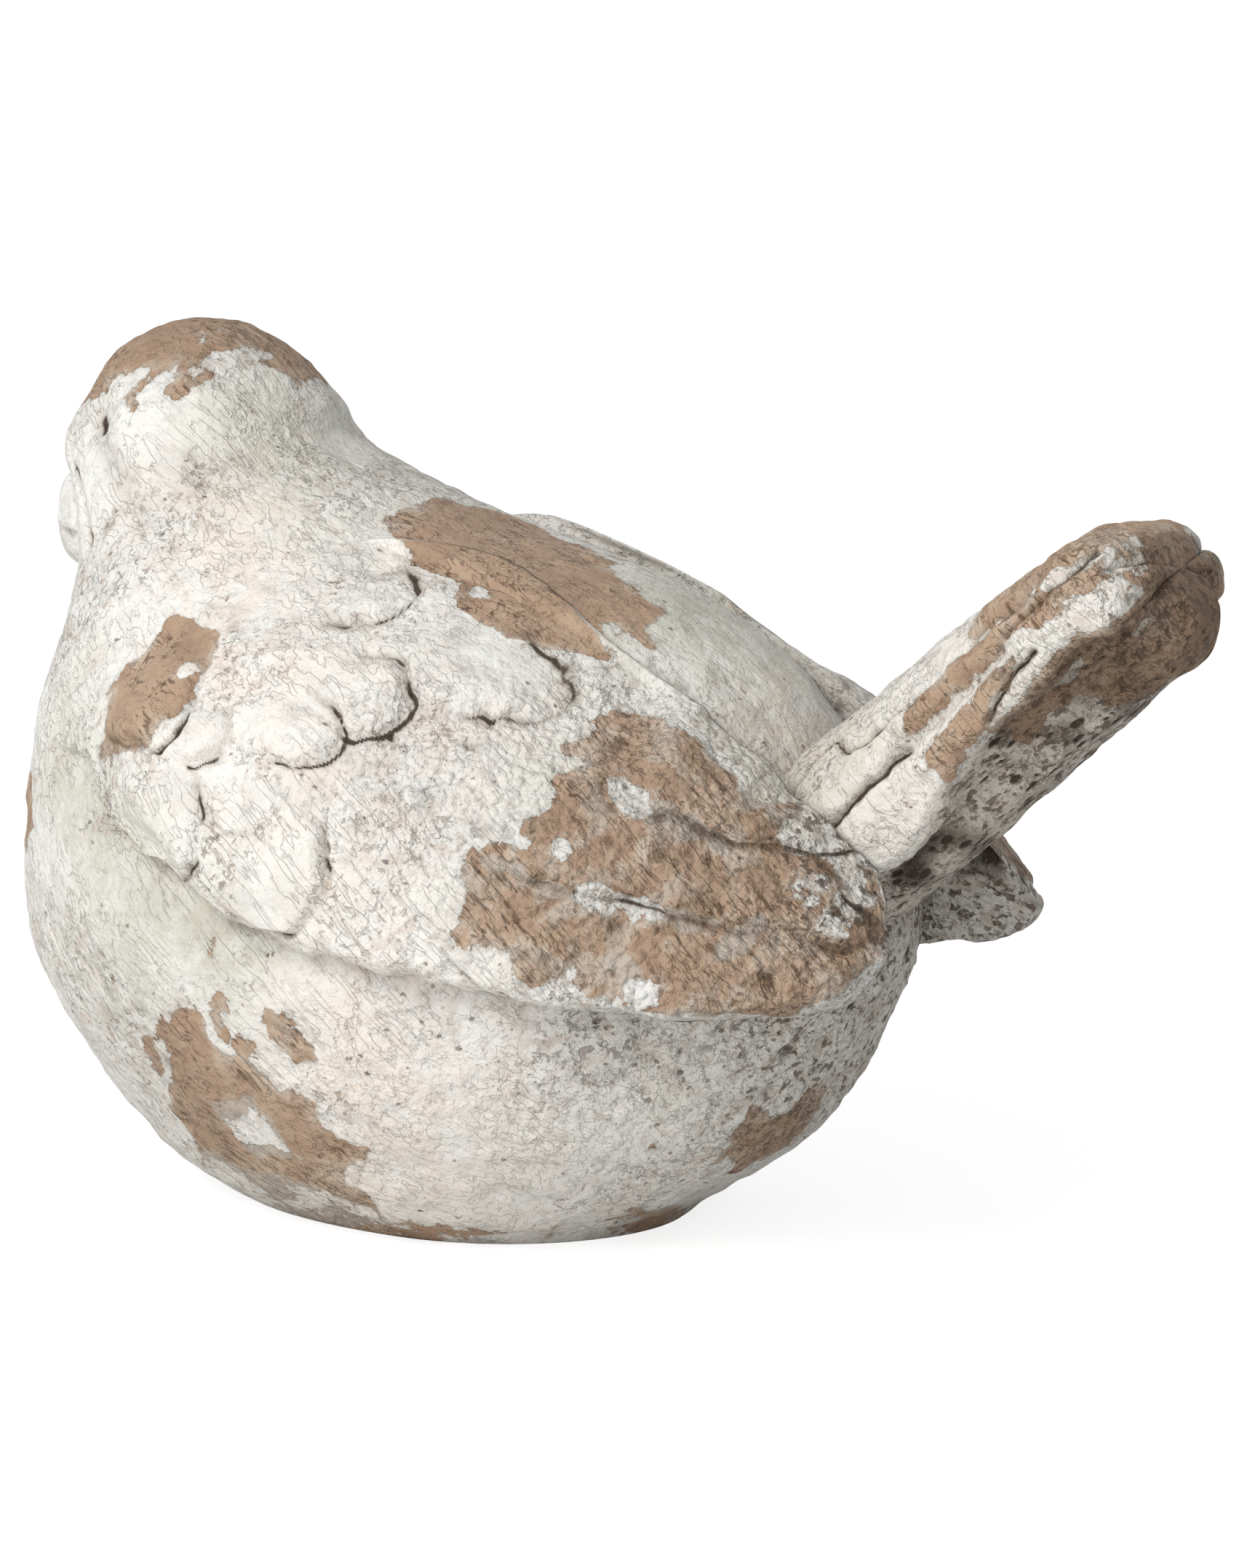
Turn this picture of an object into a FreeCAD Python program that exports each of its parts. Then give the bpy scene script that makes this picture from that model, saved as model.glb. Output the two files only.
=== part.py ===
"""Chalkware bird figure: a chalk-coated plaster bird with folded wings and a raised tail.

Millimetres. The bird stands on its flat base, the origin is the middle of the base's
underside, +Z is up, the bird faces -Y and its left wing is at +X.
"""
import FreeCAD, Part
import math
import os

V = FreeCAD.Vector

os.makedirs("parts", exist_ok=True)
doc = FreeCAD.newDocument("chalkware_bird")
sheet = doc.addObject("Spreadsheet::Sheet", "sizes")

# The driving sizes
SIZES = [
    ("figure_height", 203.8),
    ("body_half_width", 84.5),
    ("breast_reach", 107.0),
    ("rump_reach", 120.0),
    ("seat_gap", 0.3),
    ("overrun", 4.0),
    ("casting_wall", 12.0),
    ("tail_block", 48.0),
    ("pour_hole_radius", 13.0),
    ("pour_hole_depth", 20.0),
    ("pour_hole_draft", 1.5),
    ("plug_recess", 1.0),
    ("plug_height", 15.0),
    ("neck_tilt", 20.0),
    ("neck_spigot_radius", 17.0),
    ("neck_spigot_length", 15.0),
    ("beak_length", 30.0),
    ("beak_droop", 2.0),
    ("beak_half_width", 12.0),
    ("beak_half_height", 13.6),
    ("eye_radius", 3.2),
    ("wing_thickness", 5.0),
    ("wing_stand_off", 36.0),
    ("wing_web_rise", 7.0),
    ("feather_lift", 1.5),
    ("peg_radius", 5.0),
    ("peg_length", 13.0),
    ("tail_run", 108.0),
    ("tail_half_width", 28.0),
    ("tail_half_thickness", 21.0),
    ("tail_feather_lift", 1.5),
    ("tail_notch_radius", 3.0),
    ("rod_radius", 2.5),
]

# Sizes and places that follow the driving ones, each a sum of shares of them.
FOLLOWING_SHARES = [
    ("cutter_span", {"rump_reach": 2.67}),
    ("pour_hole_y", {"rump_reach": 0.183}),
    ("neck_middle_y", {"rump_reach": -0.467}),
    ("neck_middle_height", {"figure_height": 0.735}),
    ("beak_root_y", {"rump_reach": -0.525, "breast_reach": -0.215}),
    ("beak_middle_height", {"figure_height": 0.7605}),
    ("eye_spread", {"body_half_width": 0.331}),
    ("eye_middle_y", {"rump_reach": -0.555, "breast_reach": -0.172}),
    ("eye_height", {"figure_height": 0.9}),
    ("wing_shoulder_y", {"rump_reach": -0.475}),
    ("wing_length", {"rump_reach": 1.5875}),
    ("wing_foot_height", {"figure_height": 0.3042}),
    ("wing_depth", {"figure_height": 0.476}),
    ("wing_inner_face", {"body_half_width": 0.343}),
    ("wing_keel", {"body_half_width": 0.651}),
    ("wing_outer_limit", {"body_half_width": 1.183}),
    ("front_peg_inset", {"body_half_width": 0.793}),
    ("front_peg_y", {"rump_reach": 0.075}),
    ("front_peg_height", {"figure_height": 0.52}),
    ("rear_peg_inset", {"body_half_width": 0.71}),
    ("rear_peg_y", {"rump_reach": 0.45}),
    ("rear_peg_height", {"figure_height": 0.471}),
    ("tail_root_y", {"rump_reach": 0.667}),
    ("tail_root_height", {"figure_height": 0.417}),
    ("tail_rise", {"figure_height": 0.363}),
    ("rod_length", {"tail_run": 0.98}),
    ("rod_start_y", {"rump_reach": 0.583}),
    ("rod_start_height", {"figure_height": 0.3827}),
]


def following(parts):
    """The sheet's formula for a sum of shares of other sizes."""
    return "=" + " + ".join("%s * %s" % (share, source) for source, share in parts.items())


rows = [(name, str(value)) for name, value in SIZES]
rows += [(name, following(parts)) for name, parts in FOLLOWING_SHARES]
rows.append(("rod_tilt", "=atan(tail_rise / tail_run)"))
for row, (name, value) in enumerate(rows, start=1):
    sheet.set("A%d" % row, name)
    sheet.set("B%d" % row, value)
    sheet.setAlias("B%d" % row, name)
doc.recompute()


def size(name):
    """One driving size as a plain number."""
    return float(getattr(sheet, name))


def bind(target, **expressions):
    """Ties properties of an object to cells of the sheet; a double underscore stands for a dot."""
    for key, expression in expressions.items():
        target.setExpression(key.replace("__", "."), expression)
    return target


def piece(kind, name, **properties):
    """A document object with the given name, label and properties."""
    made = doc.addObject(kind, name)
    made.Label = name
    for key, value in properties.items():
        setattr(made, key, value)
    if hasattr(made, "Refine"):
        made.Refine = False
    return made


def shaped(name, shape):
    """A feature that holds a free-form shape."""
    made = doc.addObject("Part::Feature", name)
    made.Label = name
    made.Shape = shape
    made.Placement = FreeCAD.Placement()
    return made


# Egg rings: the level rings that shape the torso, neck and head. Each row is the level,
# the place of the widest point, the half width, and the reach before and behind it, as
# shares of figure_height, rump_reach, body_half_width, breast_reach and rump_reach. Last
# comes how far the wings' outer form stands behind the rump there, as a share of
# wing_stand_off: the folded wings run straight back while the body curves away.
BODY_RING_SHARES = [
    (0.0, 0.083, 0.50, 0.645, 0.375, None),
    (0.022, 0.10, 0.58, 0.757, 0.41, None),
    (0.113, 0.10, 0.78, 0.953, 0.633, None),
    (0.2355, 0.017, 0.935, 1.0, 0.858, 1.25),
    (0.358, -0.05, 1.0, 0.967, 1.0, 1.0),
    (0.471, -0.10, 0.97, 0.907, 0.992, 0.67),
    (0.569, -0.167, 0.888, 0.804, 0.958, 0.53),
    (0.6525, -0.267, 0.757, 0.645, 0.925, 0.36),
    (0.726, -0.40, 0.615, 0.458, 0.842, 0.25),
    (0.785, -0.492, 0.497, 0.383, 0.583, 0.5),
    (0.849, -0.542, 0.426, 0.383, 0.317, 0.5),
    (0.9125, -0.567, 0.355, 0.308, 0.229, None),
    (0.9665, -0.592, 0.243, 0.215, 0.158, None),
    (0.994, -0.604, 0.112, 0.098, 0.075, None),
]
CROWN_CENTRE_SHARE = -0.608

# The hollow inside the body: rings like the body's own, then how much of the tail_block
# is left solid behind the hollow, for the tail's root.
CAVITY_RING_SHARES = [
    ((0.06, 0.10, 0.67, 0.85, 0.52), 0.25),
    ((0.113, 0.10, 0.78, 0.953, 0.633), 0.35),
    ((0.2355, 0.017, 0.935, 1.0, 0.858), 0.6),
    ((0.358, -0.05, 1.0, 0.967, 1.0), 1.0),
    ((0.471, -0.10, 0.97, 0.907, 0.992), 0.95),
    ((0.60, -0.20, 0.845, 0.75, 0.945), 0.7),
]

# The wing's outline seen from the side, from the shoulder over the back to the tip and
# along the flank, as shares of wing_length and wing_depth.
WING_OUTLINE_SHARES = [
    (0.01, 0.50),
    (0.0, 0.65),
    (0.04, 0.80),
    (0.14, 0.91),
    (0.32, 1.0),
    (0.53, 0.89),
    (0.69, 0.71),
    (0.82, 0.54),
    (0.925, 0.28),
    (0.99, 0.19),
    (0.975, 0.07),
    (0.92, 0.01),
    (0.80, 0.0),
    (0.635, 0.04),
    (0.445, 0.09),
    (0.33, 0.15),
    (0.20, 0.24),
    (0.08, 0.36),
]

# Feathers: root and tip along and up the wing, half width, and lift, as shares of
# wing_length, wing_depth, wing_depth and feather_lift.
FEATHER_SHARES = [
    ((0.04, 0.68), (0.18, 0.60), 0.075, 1.0),
    ((0.25, 0.905), (0.373, 0.895), 0.045, 1.0),
    ((0.31, 0.77), (0.60, 0.70), 0.07, 1.0),
    ((0.20, 0.76), (0.455, 0.66), 0.06, 2.0),
    ((0.26, 0.655), (0.395, 0.56), 0.04, 1.0),
    ((0.11, 0.53), (0.195, 0.27), 0.08, 1.0),
    ((0.275, 0.55), (0.295, 0.37), 0.065, 1.0),
    ((0.245, 0.39), (0.395, 0.205), 0.09, 1.0),
    ((0.64, 0.70), (0.93, 0.36), 0.075, 2.0),
    ((0.58, 0.48), (0.985, 0.21), 0.085, 1.0),
    ((0.56, 0.22), (0.975, 0.12), 0.095, 2.0),
]
PETAL_ALONG_SHARES = [0.0, 0.08, 0.30, 0.60, 0.88, 1.0, 0.88, 0.60, 0.30, 0.08]
PETAL_WIDTH_SHARES = [0.0, 0.55, 0.9, 1.0, 0.75, 0.0, -0.75, -1.0, -0.9, -0.55]

# The beak's sections, from the root inside the head to the tip: the place along the beak
# and the section's size, as shares of beak_length and of the beak's half width and height.
BEAK_RING_SHARES = [
    (0.0, 1.0, 1.0),
    (0.45, 0.96, 0.98),
    (0.72, 0.74, 0.86),
    (0.90, 0.43, 0.60),
    (0.98, 0.18, 0.28),
]

# The tail's sections, from root to end. Each row is the place along the run and the rise
# of the tail's axis, the height of the widest point on the section, the half width, and
# the reach above and below the axis, as shares of tail_run, tail_rise,
# tail_half_thickness, tail_half_width, tail_half_thickness and tail_half_thickness.
TAIL_RING_SHARES = [
    (0.0, 0.0, -0.2, 1.0, 0.92, 1.33),
    (0.176, 0.15, -0.2, 0.96, 0.90, 1.20),
    (0.407, 0.365, -0.19, 0.93, 1.0, 1.05),
    (0.639, 0.61, 0.0, 0.96, 1.06, 0.88),
    (0.843, 0.84, 0.24, 0.98, 1.0, 0.80),
    (0.95, 0.96, 0.28, 0.90, 0.86, 0.72),
    (0.99, 1.0, 0.24, 0.62, 0.52, 0.46),
]
# Tail feather strips: root and end along the tail and across its thickness, and half
# width, as shares of tail_run, tail_half_thickness and tail_half_thickness.
TAIL_STRIP_SHARES = [
    ((0.30, 0.62), (0.93, 0.80), 0.30),
    ((0.35, 0.10), (0.90, 0.30), 0.26),
]
TAIL_NOTCH_SHARES = [0.40, -0.25]
RING_STEPS = 20


def closed_curve(points):
    """A smooth closed wire through the points, spaced evenly in its parameter."""
    curve = Part.BSplineCurve()
    steps = [step / len(points) for step in range(len(points) + 1)]
    curve.interpolate(Points=points, PeriodicFlag=True, Parameters=steps)
    return Part.Wire(curve.toShape())


def egg_ring(centre, across, along, half_width, ahead, behind):
    """One egg-shaped ring: two half ellipses that share their widest point."""
    points = []
    for step in range(RING_STEPS):
        angle = 2.0 * math.pi * step / RING_STEPS
        reach = behind if math.sin(angle) > 0.0 else ahead
        points.append(centre + across * (half_width * math.cos(angle)) + along * (reach * math.sin(angle)))
    return closed_curve(points)


def body_ring(shares, side_growth, rear_growth):
    """A level ring of the body, grown at the front and sides and at the rear."""
    level, centre, width, ahead, behind = shares[:5]
    middle = V(0.0, centre * size("rump_reach"), level * size("figure_height"))
    return egg_ring(
        middle,
        V(1.0, 0.0, 0.0),
        V(0.0, 1.0, 0.0),
        width * size("body_half_width") + side_growth,
        ahead * size("breast_reach") + side_growth,
        behind * size("rump_reach") + rear_growth,
    )


def body_form(growth):
    """The whole bird's torso, neck and head as one closed form, grown by a clearance."""
    rings = [body_ring(shares, growth, growth) for shares in BODY_RING_SHARES]
    crown = V(0.0, CROWN_CENTRE_SHARE * size("rump_reach"), size("figure_height") + growth)
    return Part.makeLoft(rings + [Part.Vertex(crown)], True, False)


def cavity_form():
    """The hollow left by pouring the body: an even wall, thicker where the tail is rooted."""
    rings = []
    for shares, rear_share in CAVITY_RING_SHARES:
        rear = size("casting_wall") + rear_share * (size("tail_block") - size("casting_wall"))
        rings.append(body_ring(shares, -size("casting_wall"), -rear))
    return Part.makeLoft(rings, True, False)


def wing_form(growth):
    """The smooth outer form that both wings lie in."""
    rings = []
    for shares in BODY_RING_SHARES:
        stand_off = shares[5]
        if stand_off is not None:
            side = size("wing_thickness") + growth
            rings.append(body_ring(shares, side, stand_off * size("wing_stand_off") + growth))
    return Part.makeLoft(rings, True, False)


def beside(along_share, up_share, inset):
    """A point of the wing's side view, at a distance out from the bird's middle."""
    y = size("wing_shoulder_y") + along_share * size("wing_length")
    z = size("wing_foot_height") + up_share * size("wing_depth")
    return V(inset, y, z)


def wing_prism():
    """The wing's side outline carried outward; its rear underside rises towards the rump."""
    wires = []
    for inset, web in ((size("wing_inner_face"), 1.0), (size("wing_keel"), 0.0), (size("wing_outer_limit"), 0.0)):
        points = []
        for along, up in WING_OUTLINE_SHARES:
            point = beside(along, up, inset)
            lower_rear = max(0.0, along - 0.5) * max(0.0, 0.5 - up) * 4.0
            point.z += web * lower_rear * size("wing_web_rise")
            points.append(point)
        wires.append(closed_curve(points))
    return Part.makeLoft(wires, True, True)


def petal(root, tip, half_width, place):
    """A rounded feather outline between root and tip, in the plane that place maps it to."""
    run = (tip[0] - root[0], tip[1] - root[1])
    length = math.hypot(*run)
    points = []
    for along, width in zip(PETAL_ALONG_SHARES, PETAL_WIDTH_SHARES):
        first = root[0] + run[0] * along - run[1] / length * width * half_width
        second = root[1] + run[1] * along + run[0] / length * width * half_width
        points.append(place(first, second))
    return closed_curve(points)


def feather(shares, form):
    """One raised feather of the wing: its side outline cut out of the lifted wing form."""
    root, tip, half_width, lift = shares

    def place(y, z):
        return V(size("wing_inner_face"), y, z)

    ends = [beside(along, up, 0.0) for along, up in (root, tip)]
    outline = petal((ends[0].y, ends[0].z), (ends[1].y, ends[1].z), half_width * size("wing_depth"), place)
    reach = size("wing_outer_limit") - size("wing_inner_face")
    return Part.Face(outline).extrude(V(reach, 0.0, 0.0)).common(form)


def tail_rings(growth):
    """The tail's sections, square to its rising axis."""
    rows = []
    for run, rise, widest, width, above, below in TAIL_RING_SHARES:
        middle = V(0.0, size("tail_root_y") + run * size("tail_run"), size("tail_root_height") + rise * size("tail_rise"))
        rows.append((middle, widest, width, above, below))
    rings = []
    for index, (middle, widest, width, above, below) in enumerate(rows):
        before = rows[max(index - 1, 0)][0]
        after = rows[min(index + 1, len(rows) - 1)][0]
        axis = (after - before).normalize()
        upward = V(0.0, -axis.z, axis.y)
        thick = size("tail_half_thickness")
        rings.append(egg_ring(
            middle + upward * (widest * thick),
            V(1.0, 0.0, 0.0),
            upward,
            width * size("tail_half_width") + growth,
            (below + widest) * thick + growth,
            (above - widest) * thick + growth,
        ))
    return rings


def beak_form(growth):
    """The beak as one closed form, grown by a clearance."""
    rings = []
    for along, width, height in BEAK_RING_SHARES:
        middle = V(
            0.0,
            size("beak_root_y") - along * (size("beak_length") + growth),
            size("beak_middle_height") - along * size("beak_droop"),
        )
        high = height * size("beak_half_height") + growth
        wide = width * size("beak_half_width") + growth
        rings.append(egg_ring(middle, V(1.0, 0.0, 0.0), V(0.0, 0.0, 1.0), wide, high, high))
    return Part.makeLoft(rings, True, False)


def tail_form(growth):
    """The tail as one closed form, grown by a clearance."""
    return Part.makeLoft(tail_rings(growth), True, False)


def tail_point(along_share, across_share, inset):
    """A point of the tail's side view, measured along its straight line and across it."""
    line = V(0.0, size("tail_run"), size("tail_rise"))
    upward = V(0.0, -line.z, line.y).normalize()
    root = V(inset, size("tail_root_y"), size("tail_root_height"))
    return root + line * along_share + upward * (across_share * size("tail_half_thickness"))


def tail_strip(shares, form):
    """One long raised feather that runs down both sides of the tail."""
    root, tip, half_width = shares
    inset = -size("tail_half_width") * 2.0
    ends = [tail_point(along, across, inset) for along, across in (root, tip)]

    def place(y, z):
        return V(inset, y, z)

    outline = petal((ends[0].y, ends[0].z), (ends[1].y, ends[1].z), half_width * size("tail_half_thickness"), place)
    return Part.Face(outline).extrude(V(-2.0 * inset, 0.0, 0.0)).common(form)


def tail_shape():
    """The tail with its raised feather strips and the notches between the feather ends."""
    shape = tail_form(0.0)
    lifted = tail_form(size("tail_feather_lift"))
    for shares in TAIL_STRIP_SHARES:
        shape = shape.fuse(tail_strip(shares, lifted))
    for across in TAIL_NOTCH_SHARES:
        start = tail_point(1.0, across, -size("tail_half_width"))
        notch = Part.makeCylinder(size("tail_notch_radius"), 2.0 * size("tail_half_width"), start, V(1.0, 0.0, 0.0))
        shape = shape.cut(notch)
    return shape


def left_wing_shape():
    """The left wing: outer form within the side outline, with its feathers, bedded on the body."""
    form = wing_form(0.0)
    shape = wing_prism().common(form)
    lifted = {}
    for shares in FEATHER_SHARES:
        lift = shares[3]
        if lift not in lifted:
            lifted[lift] = wing_form(lift * size("feather_lift"))
        shape = shape.fuse(feather(shares, lifted[lift]))
    shape = shape.cut(body_form(size("seat_gap")))
    shape = shape.cut(tail_form(size("seat_gap")))
    return max(shape.Solids, key=lambda solid: solid.Volume)


def neck_block(name, gap_share):
    """A large block whose underside is the tilted neck joint, lowered by a share of the gap."""
    block = piece("Part::Box", name)
    bind(block, Length="sizes.cutter_span", Width="sizes.cutter_span", Height="sizes.figure_height")
    tilt = FreeCAD.Rotation(V(1.0, 0.0, 0.0), size("neck_tilt"))
    corner = V(-size("cutter_span") / 2.0, -size("cutter_span") / 2.0, -gap_share * size("seat_gap"))
    middle = V(0.0, size("neck_middle_y"), size("neck_middle_height"))
    block.Placement = FreeCAD.Placement(middle + tilt.multVec(corner), tilt)
    return block


def neck_pin(name, radius, length, gap_share):
    """A round pin down from the neck joint along the neck's axis."""
    pin = piece("Part::Cylinder", name)
    bind(pin, Radius=radius, Height=length)
    tilt = FreeCAD.Rotation(V(1.0, 0.0, 0.0), size("neck_tilt"))
    foot = tilt.multVec(V(0.0, 0.0, -size("neck_spigot_length") - gap_share * size("seat_gap")))
    middle = V(0.0, size("neck_middle_y"), size("neck_middle_height"))
    pin.Placement = FreeCAD.Placement(middle + foot, tilt)
    return pin


def wing_peg(name, inset, y, height, radius, growth, length):
    """A round peg along X between a wing and the body."""
    peg = piece("Part::Cylinder", name)
    peg.Placement = FreeCAD.Placement(V(), FreeCAD.Rotation(V(0.0, 1.0, 0.0), 90.0))
    bind(
        peg,
        Radius=radius,
        Height=length,
        Placement__Base__x="sizes.%s - %s" % (inset, growth),
        Placement__Base__y="sizes.%s" % y,
        Placement__Base__z="sizes.%s" % height,
    )
    return peg


def tail_rod_like(name, radius):
    """A straight round bar along the tail's axis."""
    bar = piece("Part::Cylinder", name)
    bar.Placement = FreeCAD.Placement(V(), FreeCAD.Rotation(V(1.0, 0.0, 0.0), size("rod_tilt") - 90.0))
    bind(
        bar,
        Radius=radius,
        Height="sizes.rod_length",
        Placement__Base__y="sizes.rod_start_y",
        Placement__Base__z="sizes.rod_start_height",
    )
    return bar


def fused(name, members):
    """One tool made of several."""
    return piece("Part::MultiFuse", name, Shapes=members)


def cut(name, base, tool):
    """Base without tool."""
    return piece("Part::Cut", name, Base=base, Tool=tool)


def mirrored(name, source):
    """The same form on the bird's other side."""
    return piece("Part::Mirroring", name, Source=source, Normal=V(1.0, 0.0, 0.0), Base=V())


# The sockets in the body and the pegs on the wings
def peg_pair(stem, radius, growth, length):
    return [
        wing_peg(stem + "_front", "front_peg_inset", "front_peg_y", "front_peg_height", radius, growth, length),
        wing_peg(stem + "_rear", "rear_peg_inset", "rear_peg_y", "rear_peg_height", radius, growth, length),
    ]


whole_form = shaped("torso_and_head_form", body_form(0.0))
cavity = shaped("cavity_form", cavity_form())
tail_pocket = shaped("tail_pocket_form", tail_form(size("seat_gap")))
tail_plain = shaped("tail_form", tail_shape())
wing_plain = shaped("left_wing_form", left_wing_shape())
beak_pocket = shaped("beak_pocket_form", beak_form(size("seat_gap")))

# Body casting: hollow, with a pour hole in the base
pour_hole = piece("Part::Cone", "pour_hole")
bind(
    pour_hole,
    Radius1="sizes.pour_hole_radius",
    Radius2="sizes.pour_hole_radius - sizes.pour_hole_draft",
    Height="sizes.pour_hole_depth",
    Placement__Base__y="sizes.pour_hole_y",
)
left_sockets = fused("left_sockets", peg_pair(
    "left_socket", "sizes.peg_radius + sizes.seat_gap", "sizes.seat_gap", "sizes.peg_length + sizes.overrun"))
right_sockets = mirrored("right_sockets", left_sockets)
body_tools = fused("body_tools", [
    neck_block("neck_block_body", 1.0),
    neck_pin("neck_socket", "sizes.neck_spigot_radius + sizes.seat_gap", "sizes.neck_spigot_length + sizes.overrun", 1.0),
    cavity,
    pour_hole,
    left_sockets,
    right_sockets,
    tail_pocket,
    tail_rod_like("rod_socket", "sizes.rod_radius + sizes.seat_gap"),
])
body_casting = cut("body_casting", whole_form, body_tools)

# Head casting: solid, on a round spigot, with eye hollows and a pocket for the beak
head_blank = piece("Part::MultiCommon", "head_blank", Shapes=[whole_form, neck_block("neck_block_head", 0.0)])
head_on_spigot = fused("head_on_spigot", [
    head_blank,
    neck_pin("neck_spigot", "sizes.neck_spigot_radius", "sizes.neck_spigot_length + sizes.overrun", 0.0),
])
left_eye = piece("Part::Sphere", "left_eye_hollow")
bind(
    left_eye,
    Radius="sizes.eye_radius",
    Placement__Base__x="sizes.eye_spread",
    Placement__Base__y="sizes.eye_middle_y",
    Placement__Base__z="sizes.eye_height",
)
right_eye = mirrored("right_eye_hollow", left_eye)
head_tools = fused("head_tools", [left_eye, right_eye, beak_pocket])
head_casting = cut("head_casting", head_on_spigot, head_tools)
beak = shaped("beak", beak_form(0.0))

# Wings on their pegs
front_peg, rear_peg = peg_pair("left_peg", "sizes.peg_radius", "0 * sizes.seat_gap", "sizes.peg_length")
left_wing_front = piece("Part::Fuse", "left_wing_on_front_peg", Base=wing_plain, Tool=front_peg)
left_wing = piece("Part::Fuse", "left_wing", Base=left_wing_front, Tool=rear_peg)
right_wing = mirrored("right_wing", left_wing)

# Tail casting on its steel rod
tail_casting = cut("tail_casting", tail_plain, tail_rod_like("rod_bore", "sizes.rod_radius"))
tail_rod = tail_rod_like("tail_rod", "sizes.rod_radius")

# Plug of the pour hole, set back from the base
pour_hole_plug = piece("Part::Cone", "pour_hole_plug")
bind(
    pour_hole_plug,
    Radius1="sizes.pour_hole_radius - sizes.seat_gap"
            " - sizes.pour_hole_draft * sizes.plug_recess / sizes.pour_hole_depth",
    Radius2="sizes.pour_hole_radius - sizes.seat_gap"
            " - sizes.pour_hole_draft * (sizes.plug_recess + sizes.plug_height) / sizes.pour_hole_depth",
    Height="sizes.plug_height",
    Placement__Base__y="sizes.pour_hole_y",
    Placement__Base__z="sizes.plug_recess",
)

doc.recompute()

SUB_PARTS = [
    body_casting,
    head_casting,
    beak,
    left_wing,
    right_wing,
    tail_casting,
    tail_rod,
    pour_hole_plug,
]
for made in doc.Objects:
    if "Invalid" in made.State or "Error" in made.State:
        raise RuntimeError("%s did not build: %s" % (made.Name, made.State))
for made in SUB_PARTS:
    shape = made.Shape
    if shape.isNull() or not shape.isValid():
        raise RuntimeError("%s has no valid shape" % made.Label)
    if len(shape.Solids) != 1:
        raise RuntimeError("%s has %d solids" % (made.Label, len(shape.Solids)))
    box = shape.BoundBox
    print("%-16s %9.1f mm3  x %7.1f %7.1f  y %7.1f %7.1f  z %7.1f %7.1f" % (
        made.Label, shape.Volume, box.XMin, box.XMax, box.YMin, box.YMax, box.ZMin, box.ZMax))
for made in SUB_PARTS:
    made.Shape.exportStep("parts/%s.step" % made.Label)
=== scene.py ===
"""Looks of the chalkware bird: worn chalk coat over fired clay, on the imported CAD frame."""

import functools
import itertools
import math

import bpy
import numpy as np
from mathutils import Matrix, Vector


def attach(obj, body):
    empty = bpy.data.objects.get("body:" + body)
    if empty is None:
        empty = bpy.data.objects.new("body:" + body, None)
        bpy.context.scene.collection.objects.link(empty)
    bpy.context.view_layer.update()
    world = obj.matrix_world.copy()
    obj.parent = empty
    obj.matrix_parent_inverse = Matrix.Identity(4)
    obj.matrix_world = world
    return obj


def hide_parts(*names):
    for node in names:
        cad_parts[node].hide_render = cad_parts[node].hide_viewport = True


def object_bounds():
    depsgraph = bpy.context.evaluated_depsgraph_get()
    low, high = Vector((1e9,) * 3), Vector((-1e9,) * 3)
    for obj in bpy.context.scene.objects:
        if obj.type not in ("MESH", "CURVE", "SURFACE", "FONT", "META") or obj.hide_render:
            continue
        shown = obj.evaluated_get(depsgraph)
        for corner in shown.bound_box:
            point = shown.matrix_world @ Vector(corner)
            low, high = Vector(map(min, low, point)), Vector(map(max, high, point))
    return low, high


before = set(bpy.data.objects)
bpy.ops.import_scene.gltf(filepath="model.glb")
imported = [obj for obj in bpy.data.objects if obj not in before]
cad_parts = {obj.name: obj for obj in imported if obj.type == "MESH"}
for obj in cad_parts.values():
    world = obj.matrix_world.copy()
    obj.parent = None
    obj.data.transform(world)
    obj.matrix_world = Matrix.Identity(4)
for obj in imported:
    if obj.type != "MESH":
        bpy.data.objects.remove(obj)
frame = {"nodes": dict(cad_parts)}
CAD_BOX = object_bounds()

# All shapes are worked out in millimetres and put into the meshes in metres.
MM = 0.001
FINE = 1.0

# Level rings of the torso, neck and head: height, place of the widest point, half width,
# and reach before and behind it.
BODY_RINGS = [
    (0.0, 10.0, 42.2, 69.0, 45.0),
    (4.5, 12.0, 49.0, 81.0, 49.2),
    (23.0, 12.0, 65.9, 102.0, 76.0),
    (48.0, 2.0, 79.0, 107.0, 103.0),
    (73.0, -6.0, 84.5, 103.5, 120.0),
    (96.0, -12.0, 82.0, 97.0, 119.0),
    (116.0, -20.0, 75.0, 86.0, 115.0),
    (133.0, -32.0, 64.0, 69.0, 111.0),
    (148.0, -48.0, 52.0, 49.0, 99.5),
    (160.0, -59.0, 42.0, 41.0, 66.5),
    (173.0, -65.0, 35.8, 40.0, 34.6),
    (186.0, -68.0, 29.3, 30.0, 25.0),
    (197.0, -71.0, 19.5, 20.5, 17.5),
    (202.6, -72.5, 8.8, 9.2, 8.2),
    (203.7, -73.0, 0.0, 0.0, 0.0),
]
# The same for the outer form that both wings lie in.
WING_RINGS = [
    (48.0, 2.0, 84.0, 112.0, 148.0),
    (73.0, -6.0, 89.5, 108.5, 156.0),
    (96.0, -12.0, 87.0, 102.0, 143.0),
    (116.0, -20.0, 80.0, 91.0, 134.0),
    (133.0, -32.0, 69.0, 74.0, 124.0),
    (148.0, -48.0, 57.0, 54.0, 110.0),
    (160.0, -59.0, 47.0, 46.0, 88.0),
    (173.0, -65.0, 41.0, 46.0, 56.0),
]
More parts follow.
